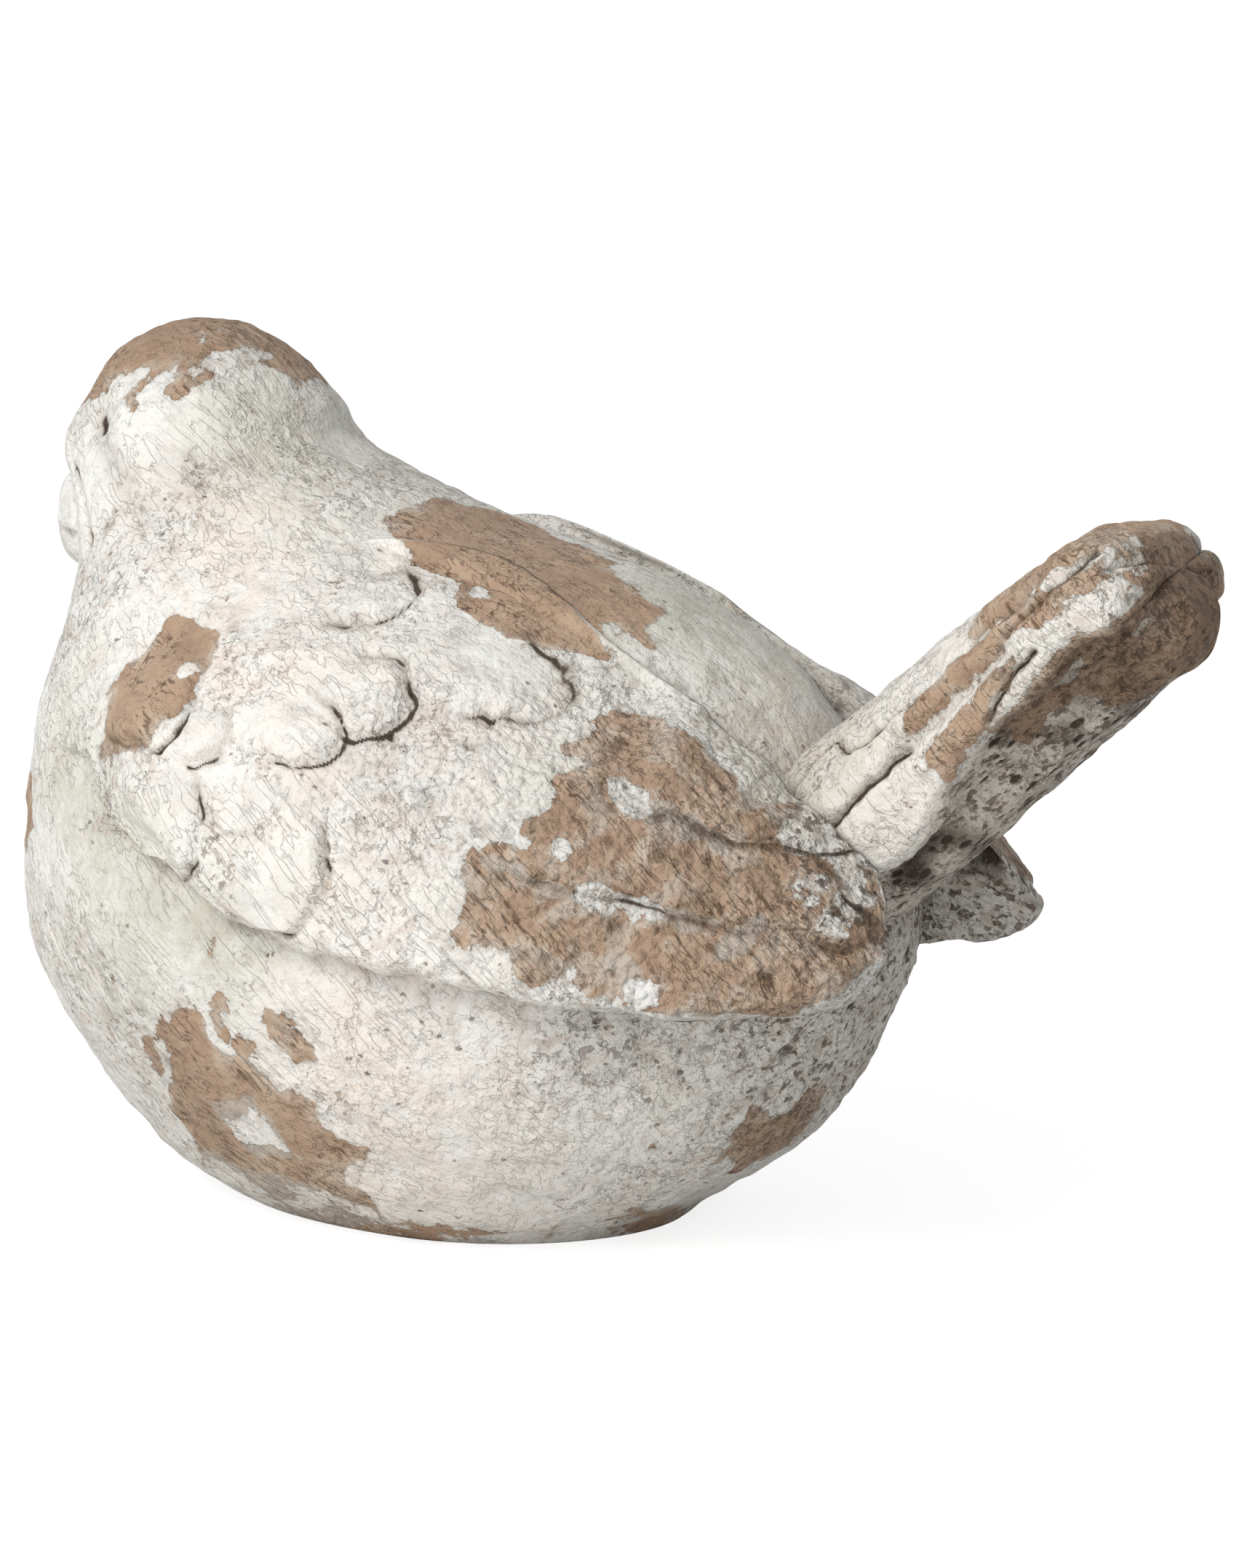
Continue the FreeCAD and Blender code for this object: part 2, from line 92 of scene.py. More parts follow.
# Sections of the tail: place and height of the middle, how far the widest point lies above
# it, half width, and reach above and below the middle.
TAIL_RINGS = [
    (80.0, 85.0, -4.0, 28.0, 19.3, 28.0),
    (99.0, 96.0, -4.0, 27.0, 19.0, 25.0),
    (124.0, 112.0, -4.0, 26.0, 21.0, 22.0),
    (149.0, 130.0, 0.0, 27.0, 22.3, 18.5),
    (171.0, 147.0, 5.0, 27.4, 21.0, 16.8),
    (182.5, 156.0, 5.9, 25.2, 18.0, 15.1),
    (187.0, 159.0, 5.0, 17.4, 10.9, 9.7),
]
# The wing's outline in side view, from the shoulder to the tip, over the back and along
# the flank: distance back and height.
WING_BACK_LINE = [
    (-55.5, 110), (-57, 124), (-49, 140), (-31, 150), (-14, 157), (4, 159), (24, 156),
    (44, 148), (61, 138), (74, 131), (89, 122), (100, 114), (114, 103), (127, 90), (133.5, 77),
]
WING_FLANK_LINE = [
    (-55.5, 110), (-45, 98), (-34, 92), (-19, 85), (-9, 79), (5, 76), (17, 74), (28, 71),
    (42, 69), (53, 68), (64, 66), (79, 63.5), (105, 62), (119, 63.5), (128.5, 68), (133.5, 77),
]
# How far out the wings' inner faces are
WING_INNER_FACE = 30.0
# Middle of the neck joint, distance back and height, and how the joint rises towards the back
JOINT_MIDDLE = (-56.0, 149.8)
JOINT_SLOPE = math.tan(math.radians(20.0))
CROWN_HEIGHT = BODY_RINGS[-1][0]
POUR_HOLE_RADIUS, POUR_HOLE_BACK, POUR_HOLE_DEPTH = 13.0, 22.0, 17.0
BEAK_ROOT, BEAK_REACH = -86.2, 29.1
# How far inside the CAD box every point is held
BOX_MARGIN = 0.02
# Middle of the chipped knob near the wing's tip, in side view
CHIPPED_KNOB = (117.0, 72.0)
# The way the tail rises: back and up for each millimetre along it
TAIL_RISE = (0.825, 0.565)
# Points round a full ring of the torso and head
BODY_AROUND = 400
# Patches are drawn on the body unrolled about a level axis at this height; a degree counts as so much.
UNROLL_HEIGHT = 102.0
MM_PER_DEGREE = 1.5

# Covert feathers in side view, each with the way its raised edge faces.
COVERTS = [
    ([(-14, 147), (-4, 151), (8, 151), (15, 148), (10, 144), (-4, 143)], (1.0, -0.35)),
    ([(-2, 139), (12, 141), (30, 141), (45, 138), (57, 131), (56, 126), (46, 125), (30, 129)], (1.0, -0.7)),
    ([(-22, 138), (-8, 140), (10, 138), (24, 133), (30, 127), (26, 122), (16, 121), (0, 127)], (1.0, -0.8)),
    ([(-22, 128), (-8, 129), (6, 127), (17, 121), (15, 115), (6, 114), (-8, 118)], (0.6, -1.0)),
    ([(-40, 126), (-26, 127), (-14, 121), (-14, 114), (-22, 112), (-34, 116)], (0.4, -1.0)),
    ([(-54, 133), (-38, 137), (-25, 133), (-23, 124), (-26, 117), (-38, 115), (-50, 119)], (0.5, -1.0)),
    ([(-44, 111), (-32, 115), (-20, 111), (-13, 101), (-14, 92), (-20, 87), (-30, 89), (-40, 97)],
      (0.9, -0.9)),
    ([(-13, 113), (-4, 116), (4, 113), (6, 104), (2, 97), (-6, 98), (-11, 105)], (0.3, -1.0)),
    ([(-14, 98), (-8, 104), (6, 104), (17, 101), (20, 92), (18, 82), (11, 78), (0, 80), (-9, 87)],
      (0.9, -0.8)),
]
# Long flight feathers, each lying over the next one below it.
FLIGHT_FEATHERS = [
    ([(48, 97), (70, 92), (100, 87), (131, 79), (131, 69), (120, 63), (89, 64), (56, 71)], (0.1, -1.0)),
    ([(55, 108), (71, 116), (94, 109), (114, 97), (131, 81), (112, 84), (86, 89), (55, 97)], (0.1, -1.0)),
    ([(62, 129), (74, 132), (92, 121), (108, 110), (120, 98), (102, 101), (84, 109), (70, 117)],
      (0.1, -1.0)),
]

# Bare clay patches, unrolled about the bird's long axis: distance back, and degrees round
# from the top towards the left side.
BARE_PATCHES = [
    # crown of the head
    [(-104, 3), (-98, 13), (-89, 15), (-80, 17), (-77, 19), (-72, 20), (-68, 19), (-61, 17), (-57, 13),
     (-54, 8), (-51, 5), (-48, 1), (-46, -5), (-52, -14), (-66, -18), (-80, -17), (-94, -14)],
    # back, seen from the left
    [(-7, 21), (-7, 11), (-8, -3), (-1, -11), (8, -19), (26, -10), (34, -9), (45, 5), (55, 12), (62, 12),
     (63, 24), (65, 32), (56, 31), (58, 43), (48, 48), (36, 48), (30, 44), (24, 43), (21, 33), (9, 31),
     (-1, 24)],
    # left shoulder
    [(-41, 55), (-27, 58), (-22, 66), (-23, 72), (-30, 80), (-39, 83), (-51, 84), (-54, 79), (-50, 66)],
    # left flight feathers
    [(63, 64), (66, 60), (70, 57), (76, 57), (82, 60), (89, 64), (94, 69), (99, 74), (100, 80), (105, 81),
     (109, 85), (111, 91), (116, 97), (120, 103), (123, 108), (128, 114), (133, 118), (135, 124),
     (120, 125), (115, 122), (109, 121), (103, 120), (97, 118), (93, 117), (88, 115), (82, 112), (78, 109),
     (72, 111), (68, 111), (64, 108), (58, 106), (52, 104), (50, 96), (51, 91), (56, 91), (61, 92),
     (67, 94), (67, 91), (64, 89), (66, 86), (68, 84), (64, 80), (68, 79), (71, 76), (64, 72), (65, 69)],
    # left side of the breast
    [(-29, 121), (-24, 119), (-18, 121), (-19, 124), (-14, 126), (-7, 127), (-3, 125), (0, 129), (5, 128),
     (9, 131), (9, 135), (14, 137), (19, 138), (14, 140), (10, 145), (11, 150), (3, 148), (-5, 147),
     (-13, 148), (-14, 153), (-22, 155), (-25, 148), (-32, 148), (-44, 152), (-39, 143), (-37, 136),
     (-32, 128)],
    [(-34, 126), (-33, 123), (-30, 121), (-29, 123), (-32, 126)],
    [(-42, 127), (-38, 127), (-36, 133), (-40, 135)],
    [(-16, 120), (-12, 117), (-8, 119), (-7, 121), (-4, 123), (-6, 125), (-10, 124), (-13, 122)],
    [(2, 118), (6, 119), (3, 121)],
    [(4, 123), (8, 122), (11, 124), (7, 126)],
    [(15, 129), (19, 130), (17, 133)],
    [(-31, 50), (-27, 48), (-26, 52), (-28, 55)],
    # foot of the rump
    [(86, 160), (95, 158), (98, 178), (88, 182), (80, 172)],
    # right side: shoulder, flight feathers, flank
    [(-44, -52), (-28, -58), (-24, -70), (-32, -80), (-46, -79), (-52, -66)],
    [(60, -66), (80, -60), (100, -76), (120, -98), (132, -112), (126, -126), (98, -120), (72, -110),
     (58, -96)],
    [(-6, -128), (16, -126), (28, -136), (20, -148), (0, -146)],
    [(-70, -108), (-56, -104), (-50, -116), (-60, -126), (-72, -120)],
    # front of the breast
    [(-96, 96), (-88, 90), (-84, 102), (-92, 112), (-100, 106)],
]
# Islands of chalk left standing in those patches.
CHALK_ISLANDS = [
    [(-84, 14), (-80, 14), (-73, 15), (-76, 17), (-81, 18)],
    [(-72, 18), (-70, 16), (-68, 14), (-65, 15), (-65, 18), (-68, 20), (-71, 20)],
    [(-62, 15), (-62, 12), (-59, 12), (-60, 15)],
    [(-61, 12), (-61, 8), (-56, 5), (-54, 7), (-57, 11)],
    [(-56, 5), (-56, 3), (-52, -1), (-51, 2), (-54, 6)],
    [(-67, 14), (-66, 12), (-64, 14), (-66, 15)],
    [(-66, 7), (-65, 3), (-62, 3), (-64, 8)],
    [(24, 33), (30, 34), (30, 38), (26, 38)],
    [(-29, 66), (-25, 67), (-28, 70)],
    [(53, 9), (57, 5), (59, 10), (56, 12)],
    [(75, 78), (78, 77), (82, 81), (86, 85), (82, 85), (77, 82)],
    [(72, 98), (80, 99), (88, 100), (95, 104), (93, 105), (86, 103), (78, 101), (73, 101)],
    [(69, 91), (72, 89), (75, 92), (73, 96), (70, 94)],
    [(91, 113), (93, 113), (95, 116), (91, 118)],
    [(118, 99), (121, 104), (121, 107), (118, 103)],
    [(123, 109), (128, 114), (128, 117), (124, 112)],
    [(93, 67), (96, 68), (100, 74), (97, 73)],
    [(-21, 138), (-10, 134), (-6, 138), (-5, 141), (-13, 141), (-19, 141)],
    [(-12, 119), (-9, 120), (-10, 122)],
]
# Thin grey film of chalk left in the grooves between the flight feathers.
GREY_FILMS = [
    [(84, 82), (89, 82), (95, 85), (103, 90), (102, 93), (96, 91), (89, 88), (84, 86)],
    [(57, 94), (66, 95), (73, 98), (74, 101), (70, 100), (64, 98)],
    [(92, 103), (100, 104), (106, 106), (104, 108), (97, 106)],
    [(84, 106), (90, 110), (93, 114), (88, 114), (85, 110)],
    [(106, 108), (114, 106), (112, 112), (106, 112)],
    [(85, 62), (92, 66), (97, 72), (92, 70)],
    [(-48, 152), (-32, 147), (-24, 148), (-12, 146), (4, 148), (12, 152), (-2, 157), (-30, 160)],
    [(-24, 135), (-10, 132), (-3, 140), (-16, 144)],
]
# Bare clay on the tail: distance along it and height across it.
TAIL_PATCHES = [
    # ridge along the top, running over the end
    [(88, 14), (93, 17), (101, 18), (110, 20), (118, 21), (140, 30), (150, 10), (131, 12), (126, 13),
     (117, 14), (108, 14), (98, 13)],
    # raised strip
    [(65, 4), (68, 8), (81, 9), (96, 11), (110, 11), (125, 10), (127, 6), (118, 6), (107, 7), (95, 7),
     (81, 5), (68, 3)],
    # below the groove
    [(68, -4), (77, -3), (80, -1), (89, 1), (100, 3), (96, 0), (89, -2), (85, -5), (78, -7), (72, -9),
     (68, -11)],
    # underside and end
    [(84, -8), (92, -6), (100, -4), (108, -2), (115, -1), (122, -3), (128, -1), (129, 14), (150, 20),
     (150, -18), (127, -18), (119, -20), (115, -17), (108, -16), (101, -14), (92, -14), (85, -16)],
]
TAIL_ISLANDS = [
    [(120, 13), (127, 14), (131, 8), (130, 2), (128, 3), (126, 10)],
    [(111, 7), (120, 8), (125, 4), (122, 3), (117, 4)],
    [(96, -9), (110, -7), (104, -11)],
    [(116, -9), (126, -8), (121, -12)],
]
# The part of the tail that faces up and out; past its edge the surface drops and turns under.
TAIL_UPPER_PART = [
    (-20, -17), (33, -17), (43, -19), (54, -17), (69, -11), (75, -8), (86, -6), (100, -4), (110, -1),
    (115, -1), (121, -3), (126, -1), (128, 4), (127, 9), (128, 13), (133, 16), (150, 24), (150, 60),
    (-20, 60),
]


def through(nodes, values, at):
    """Smooth values between given ones: cubic pieces, each node's slope that of its neighbours' line."""
    nodes = np.asarray(nodes, float)
    values = np.asarray(values, float)
    slopes = np.gradient(values, nodes, axis=0)
    at = np.clip(np.asarray(at, float), nodes[0], nodes[-1])
    index = np.clip(np.searchsorted(nodes, at, side="right") - 1, 0, len(nodes) - 2)
    width = (nodes[index + 1] - nodes[index])[..., None]
    t = (at[..., None] - nodes[index][..., None]) / width
    rise = t * t * (3.0 - 2.0 * t)
    start_turn = t * (1.0 - t) ** 2 * width
    end_turn = t * t * (t - 1.0) * width
    low = values[index]
    return low + (values[index + 1] - low) * rise + slopes[index] * start_turn + slopes[index + 1] * end_turn


def unit(value):
    """A value held between 0 and 1."""
    return np.clip(value, 0.0, 1.0)


def smooth_step(value, low, high):
    """0 below low, 1 above high, with a soft rise between."""
    t = unit((value - low) / (high - low))
    return t * t * (3.0 - 2.0 * t)


def bell(gap, width):
    """1 where the gap is nothing, falling softly to 0 over about twice the width."""
    return np.exp(-(gap / width) ** 2)


def direction(vectors):
    """Vectors brought to length 1."""
    return vectors / np.maximum(np.linalg.norm(vectors, axis=-1, keepdims=True), 1e-9)


def cell_number(cells, seed):
    """A fixed number from 0 to 1 for each whole-number cell: its three places mixed by large odd factors."""
    mixed = cells[..., 0] * 73856093 ^ cells[..., 1] * 19349663 ^ cells[..., 2] * 83492791
    mixed = (mixed + seed * 2654435761) & 0x7FFFFFFF
    mixed = ((mixed ^ (mixed >> 13)) * 1274126177) & 0x7FFFFFFF
    mixed = ((mixed ^ (mixed >> 15)) * 668265263) & 0x7FFFFFFF
    return (mixed ^ (mixed >> 16)) / float(0x7FFFFFFF)


def lumps(points, grain, seed):
    """Smooth noise from -1 to 1: numbers at the corners of cubes of that grain, blended by soft steps.
    Every use has a seed of its own, which picks the numbers."""
    scaled = points / grain
    base = np.floor(scaled).astype(np.int64)
    part = scaled - base
    part = part * part * (3.0 - 2.0 * part)
    total = np.zeros(points.shape[:-1])
    for corner in itertools.product((0, 1), repeat=3):
        weight = np.ones(points.shape[:-1])
        for axis, side in enumerate(corner):
            weight = weight * (part[..., axis] if side else 1.0 - part[..., axis])
        total += weight * cell_number(base + np.array(corner), seed)
    return 2.0 * total - 1.0


def pits(points, spacing, radius, share, seed):
    """Round hollows, 0 to 1 deep: a share of the cubes of that spacing hold one, at a place of its own."""
    base = np.floor(points / spacing).astype(np.int64)
    deepest = np.zeros(points.shape[:-1])
    for step in itertools.product((-1, 0, 1), repeat=3):
        cell = base + np.array(step)
        place = np.stack([cell_number(cell, seed + axis) for axis in range(3)], axis=-1)
        gap = np.linalg.norm(points - (cell + place) * spacing, axis=-1)
        wide = radius * (0.5 + cell_number(cell, seed + 3))
        depth = unit(1.0 - (gap / wide) ** 2) * (cell_number(cell, seed + 4) < share)
        deepest = np.maximum(deepest, depth)
    return deepest


def line_gap(points, line):
    """Distance of points to an open line of straight runs, in two or three dimensions."""
    corners = np.asarray(line, float)
    nearest = np.full(points.shape[:-1], np.inf)
    for start, end in zip(corners[:-1], corners[1:]):
        run = end - start
        along = unit(((points - start) @ run) / (run @ run))
        nearest = np.minimum(nearest, np.linalg.norm(points - start - along[..., None] * run, axis=-1))
    return nearest


def outline_depth(points, outline):
    """How far flat points lie inside a closed outline; below zero outside it."""
    corners = np.vstack([outline, outline[:1]]).astype(float)
    inside = np.zeros(points.shape[:-1], bool)
    for start, end in zip(corners[:-1], corners[1:]):
        if start[1] != end[1]:
            crossing = (start[1] > points[..., 1]) != (end[1] > points[..., 1])
            at = start[0] + (points[..., 1] - start[1]) * (end[0] - start[0]) / (end[1] - start[1])
            inside ^= crossing & (points[..., 0] < at)
    nearest = line_gap(points, corners)
    return np.where(inside, nearest, -nearest)


def rounded(outline, steps=8):
    """A closed outline with its corners rounded by a smooth curve through all of them."""
    corners = np.asarray(outline, float)
    count = len(corners)
    ring = np.vstack([corners[-2:], corners, corners[:3]])
    at = np.linspace(0.0, count, count * steps, endpoint=False)
    return through(np.arange(-2, count + 3), ring, at)


def ring_sizes(rings, height):
    """Ring sizes at a height; squares of the widths run smoothly, so the form closes roundly at its top."""
    table = np.array(rings)
    values = table[:, 1:].copy()
    values[:, 1:] **= 2
    found = through(table[:, 0], values, height)
    found[..., 1:] = np.sqrt(np.maximum(found[..., 1:], 0.0))
    return found


def body_points(height, turn):
    """The torso and head: at each height, two half ellipses that share their widest point."""
    middle, half, ahead, behind = np.moveaxis(ring_sizes(BODY_RINGS, height), -1, 0)
    reach = np.where(np.sin(turn) > 0.0, behind, ahead)
    return np.stack([half * np.cos(turn), middle + reach * np.sin(turn), height + 0.0 * turn], axis=-1)


def body_facing(height, turn):
    """Unit directions out of the torso and head, from small steps up and round."""
    up = body_points(np.minimum(height + 0.2, CROWN_HEIGHT - 0.1), turn) - body_points(height - 0.2, turn)
    round_ = body_points(height, turn + 0.01) - body_points(height, turn - 0.01)
    return direction(np.cross(round_, up))


def side_width(rings, back, height):
    """How far out a ring form's side is, at a distance back and a height."""
    middle, half, ahead, behind = np.moveaxis(ring_sizes(rings, height), -1, 0)
    reach = np.where(back > middle, behind, ahead)
    share = unit(1.0 - ((back - middle) / np.maximum(reach, 1e-6)) ** 2)
    return half * np.sqrt(share)


def unrolled(points):
    """Distance back, and distance round from the top."""
    degrees = np.degrees(np.arctan2(points[..., 0], points[..., 2] - UNROLL_HEIGHT))
    # the seam runs a little to the right of the underside's middle
    degrees = np.where(degrees < -178.0, degrees + 360.0, degrees)
    return np.stack([points[..., 1], MM_PER_DEGREE * degrees], axis=-1)


def bare_depth(flat, patches, islands, stretch):
    """How far each point lies inside bare clay, in millimetres; below zero on chalk."""
    scale = np.array([1.0, stretch])
    depth = np.full(flat.shape[:-1], -60.0)
    for outline in patches:
        depth = np.maximum(depth, outline_depth(flat, np.array(outline) * scale))
    for outline in islands:
        depth = np.minimum(depth, -outline_depth(flat, np.array(outline) * scale))
    return depth


def chalk_unevenness(points):
    """The hand-laid coat: lumps of four sizes, in millimetres of height."""
    return (
        0.60 * lumps(points, 31.0, 11)
        + 0.55 * lumps(points, 12.0, 12)
        + 0.40 * lumps(points, 5.5, 13)
        + 0.24 * lumps(points, 2.6, 14)
    )


def spots(points, places):
    """Soft round areas, each given by its middle, radius and strength."""
    total = np.zeros(points.shape[:-1])
    for x, y, z, radius, strength in places:
        gap = np.linalg.norm(points - np.array([x, y, z]), axis=-1)
        total = total + strength * bell(gap, radius)
    return total


# Where the chalk has gone greenish grey, where it is pinkish cream, and where it is pitted: the middle,
# radius and strength of each place
GREEN_PLACES = [
    (22, -44, 187, 16, 0.7), (18, -22, 174, 20, 0.4), (-20, -35, 178, 24, 0.5), (60, -62, 105, 16, 0.9),
    (74, -38, 88, 15, 0.9), (80, -12, 74, 14, 0.7), (66, -40, 66, 22, 0.6), (0, 60, 140, 34, 0.9),
    (30, 108, 118, 16, 0.9), (-60, -62, 105, 18, 0.8), (0, -108, 60, 36, 0.4), (66, 66, 112, 10, 0.5),
]
CREAM_PLACES = [
    (60, -20, 124, 22, 0.9), (66, 10, 108, 24, 0.7), (45, -30, 150, 16, 0.7), (28, -45, 160, 20, 0.8),
    (50, 20, 30, 34, 0.8), (70, 30, 60, 30, 0.6), (0, 84, 120, 24, 0.8), (60, 40, 116, 20, 0.6),
    (20, 10, 160, 20, 0.6), (-50, 10, 150, 30, 0.6), (26, 100, 106, 18, 0.7), (-60, 0, 60, 50, 0.5),
]
PITTED_PLACES = [
    (50, 66, 60, 17, 1.0), (66, 36, 62, 12, 0.8), (0, 128, 70, 42, 1.0), (-30, 110, 92, 26, 0.8),
    (30, 112, 88, 22, 0.9), (31, -52, 168, 9, 0.9), (36, -60, 152, 10, 0.6), (40, 44, 40, 24, 0.5),
    (70, -40, 44, 18, 0.5), (-50, 66, 60, 22, 0.8), (0, 90, 60, 40, 0.9),
]

# Places where the chalk is smooth and clean
CLEAN_PLACES = [
    (35, -62, 177, 15, 1.0), (30, -50, 188, 12, 0.7), (60, 25, 26, 24, 0.8), (62, -42, 138, 14, 0.6),
    (66, -72, 100, 16, 0.6), (20, 30, 158, 16, 0.6), (-35, -62, 177, 18, 0.8), (-60, 0, 40, 30, 0.7),
    (4, 62, 138, 26, 0.9),
]
# Undercut and sheltered places painted darker: shade under the overhangs, and grime that has stayed there
SHADE_AND_GRIME_PLACES = [
    (56, 62, 62, 9, 1.0), (50, 74, 60, 10, 1.0), (62, 46, 64, 7, 0.7), (14, 118, 92, 14, 0.8),
    (30, 118, 84, 12, 0.8), (0, 126, 60, 26, 0.5), (31, -52, 168, 7, 0.6), (34, -98, 148, 6, 0.6),
    (-50, 66, 60, 14, 0.8), (-24, 116, 88, 18, 0.8),
]


def pitted(points):
    """How pitted the chalk is, 0 to 1."""
    return unit(spots(points, PITTED_PLACES))


def eye_and_face(points):
    """The eye slot with the soft groove that runs down from it, the cheek, and the groove round the beak."""
    folded = points.copy()
    folded[..., 0] = np.abs(folded[..., 0])
    slot = line_gap(folded, [(25.6, -87.6, 186.0), (27.4, -85.0, 183.0), (29.6, -82.6, 179.8)])
    groove = line_gap(folded, [(28, -84, 183), (32, -79, 176), (37, -70, 169), (41, -62, 161)])
    beak_ring = line_gap(folded, [
        (3, -104.4, 169.5), (10, -99.5, 163), (12.6, -96.6, 154), (11.8, -95.8, 146), (5, -98.8, 140)])
    crease = line_gap(folded, [
        (22, -96, 176), (25, -93.6, 173), (32, -85.4, 164.4), (38, -79.7, 155), (40, -79.8, 147)])
    crease = crease + 0.8 * lumps(points, 5.0, 22)
    slot = slot + 0.9 * lumps(points, 1.8, 23) + 0.5 * lumps(points, 4.0, 25)
    socket = spots(folded, [(28, -84, 183, 7, 1.0)])
    height = -1.7 * bell(slot, 1.6) - 0.9 * bell(groove, 4.5) - 0.7 * socket
    height = height - 1.0 * bell(beak_ring, 1.4) - 1.3 * bell(crease, 1.2)
    height = height + 1.6 * spots(folded, [
        (20, -96, 178, 9, 1.0), (26, -86, 160, 12, 0.7), (16, -92, 190, 9, 0.6)])
    # painted shade: darkness in the eye slot, the groove below it, the cheek crease and the groove round the
    # beak; two small dark spots on the cheek
    dark = 0.9 * bell(slot, 1.5) + 0.35 * bell(groove, 4.0)
    dark = dark + 0.85 * bell(crease, 0.8) * smooth_step(lumps(points, 8.0, 24), -0.5, 0.1)
    dark = dark + 0.8 * spots(folded, [(40, -72, 158, 2.0, 1.0), (38, -64, 150, 1.8, 0.8)])
    dark = dark + 0.9 * bell(beak_ring, 0.9)
    return height, dark


def under_wing(points):
    """The valley below the wings' flank edge, its wider front part, and a line of painted shade along the
    edge.
    """
    side = points[..., 1:]
    gap = line_gap(side, WING_FLANK_LINE)
    edge = np.array(WING_FLANK_LINE[:-1], float)
    below = side[..., 1] < np.interp(side[..., 0], edge[:, 0], edge[:, 1])
    on_flank = np.abs(points[..., 0]) > 25.0
    ahead = smooth_step(-side[..., 0], -30.0, 20.0)
    valley = np.where(below & on_flank, bell(gap, 7.0 + 7.0 * ahead), 0.0)
    # a line of painted shade just below the wing's flank edge
    line = np.where(on_flank, bell(gap - 1.0, 1.3), 0.0)
    return valley, valley * ahead, line * smooth_step(lumps(points, 14.0, 33), -0.5, 0.3)


def body_relief(points):
    """Height of the worked surface above the torso's and head's plain form, and how much dirt and painted
    shade it carries.
    """
    face, dark = eye_and_face(points)
    rough = pitted(points)
    valley, front_valley, line = under_wing(points)
    hollows = pits(points, 7.0, 2.2, 0.5, 21)
    height = chalk_unevenness(points) + face - 1.8 * valley - 1.6 * front_valley
    height = height - (0.25 + 1.1 * rough) * hollows - 0.8 * rough * np.abs(lumps(points, 5.0, 31))
    # painted shade: darker in the lows of the lumps, in the pits, in the valley below the wing, along the
    # wing's edge line and in the undercut places, with their grime; the crown's own clay is darker too
    painted_shade_and_grime = 0.35 * unit(-lumps(points, 5.0, 13)) + hollows * (0.2 + 0.7 * rough) + 0.25 * valley
    painted_shade_and_grime = painted_shade_and_grime + 0.35 * smooth_step(points[..., 2], 184.0, 198.0)
    undercut_shade_and_grime = spots(points, SHADE_AND_GRIME_PLACES) * smooth_step(lumps(points, 6.0, 34), -0.4, 0.5)
    painted_shade_and_grime = painted_shade_and_grime + 0.9 * line + 0.6 * undercut_shade_and_grime
    return height, unit(dark + painted_shade_and_grime * 0.6 + 0.3 * rough)


def ring_turns(count):
    """Angles of the points on a full ring."""
    return np.linspace(0.0, 2.0 * math.pi, int(count * FINE), endpoint=False)


def worked_wall(level, turn, share=1.0):
    """The body's wall at those heights with that share of its relief, and how much dirt and painted shade it
    carries.
    """
    angle = np.broadcast_to(turn, level.shape)
    wall = body_points(level, angle)
    height, dirt = body_relief(wall)
    return wall + body_facing(level, angle) * (height * share)[..., None], dirt


def joint_heights(turn):
    """Height of the tilted neck joint all round the body, found by repeated halving of the error."""
    height = np.full(turn.shape, JOINT_MIDDLE[1])
    for _ in range(60):
        back = body_points(height, turn)[..., 1]
        height = 0.5 * height + 0.5 * (JOINT_MIDDLE[1] + JOINT_SLOPE * (back - JOINT_MIDDLE[0]))
    return height


def body_attributes(points, dirt):
    """What the finish reads at each point of the torso, head, beak and wings."""
    bare = bare_depth(unrolled(points), BARE_PATCHES, CHALK_ISLANDS, MM_PER_DEGREE)
    bare = bare + 2.6 * lumps(points, 9.0, 41) + 1.3 * lumps(points, 4.0, 42)
    low = smooth_step(-points[..., 2], -14.0, -1.0)
    return {
        "bare": np.maximum(bare, low * 3.0 - 2.6 + 2.0 * lumps(points, 12.0, 43)),
        "dirt": dirt,
        "green": unit(spots(points, GREEN_PLACES) + 0.8 * under_wing(points)[1]),
        "film": bare_depth(unrolled(points), GREY_FILMS, [], MM_PER_DEGREE) + 1.5 * lumps(points, 4.0, 44),
        "cream": unit(spots(points, CREAM_PLACES)),
        "pitted": pitted(points),
        "clean": unit(spots(points, CLEAN_PLACES)),
    }


def kept_in_box(points):
    """Points held inside the CAD box, so that relief never makes the figure larger."""
    return np.clip(points, np.array(CAD_BOX[0]) / MM + BOX_MARGIN, np.array(CAD_BOX[1]) / MM - BOX_MARGIN)


def put_in_scene(name, data):
    """A new object that holds a mesh, a lamp or a camera."""
    made = bpy.data.objects.new(name, data)
    bpy.context.scene.collection.objects.link(made)
    return made


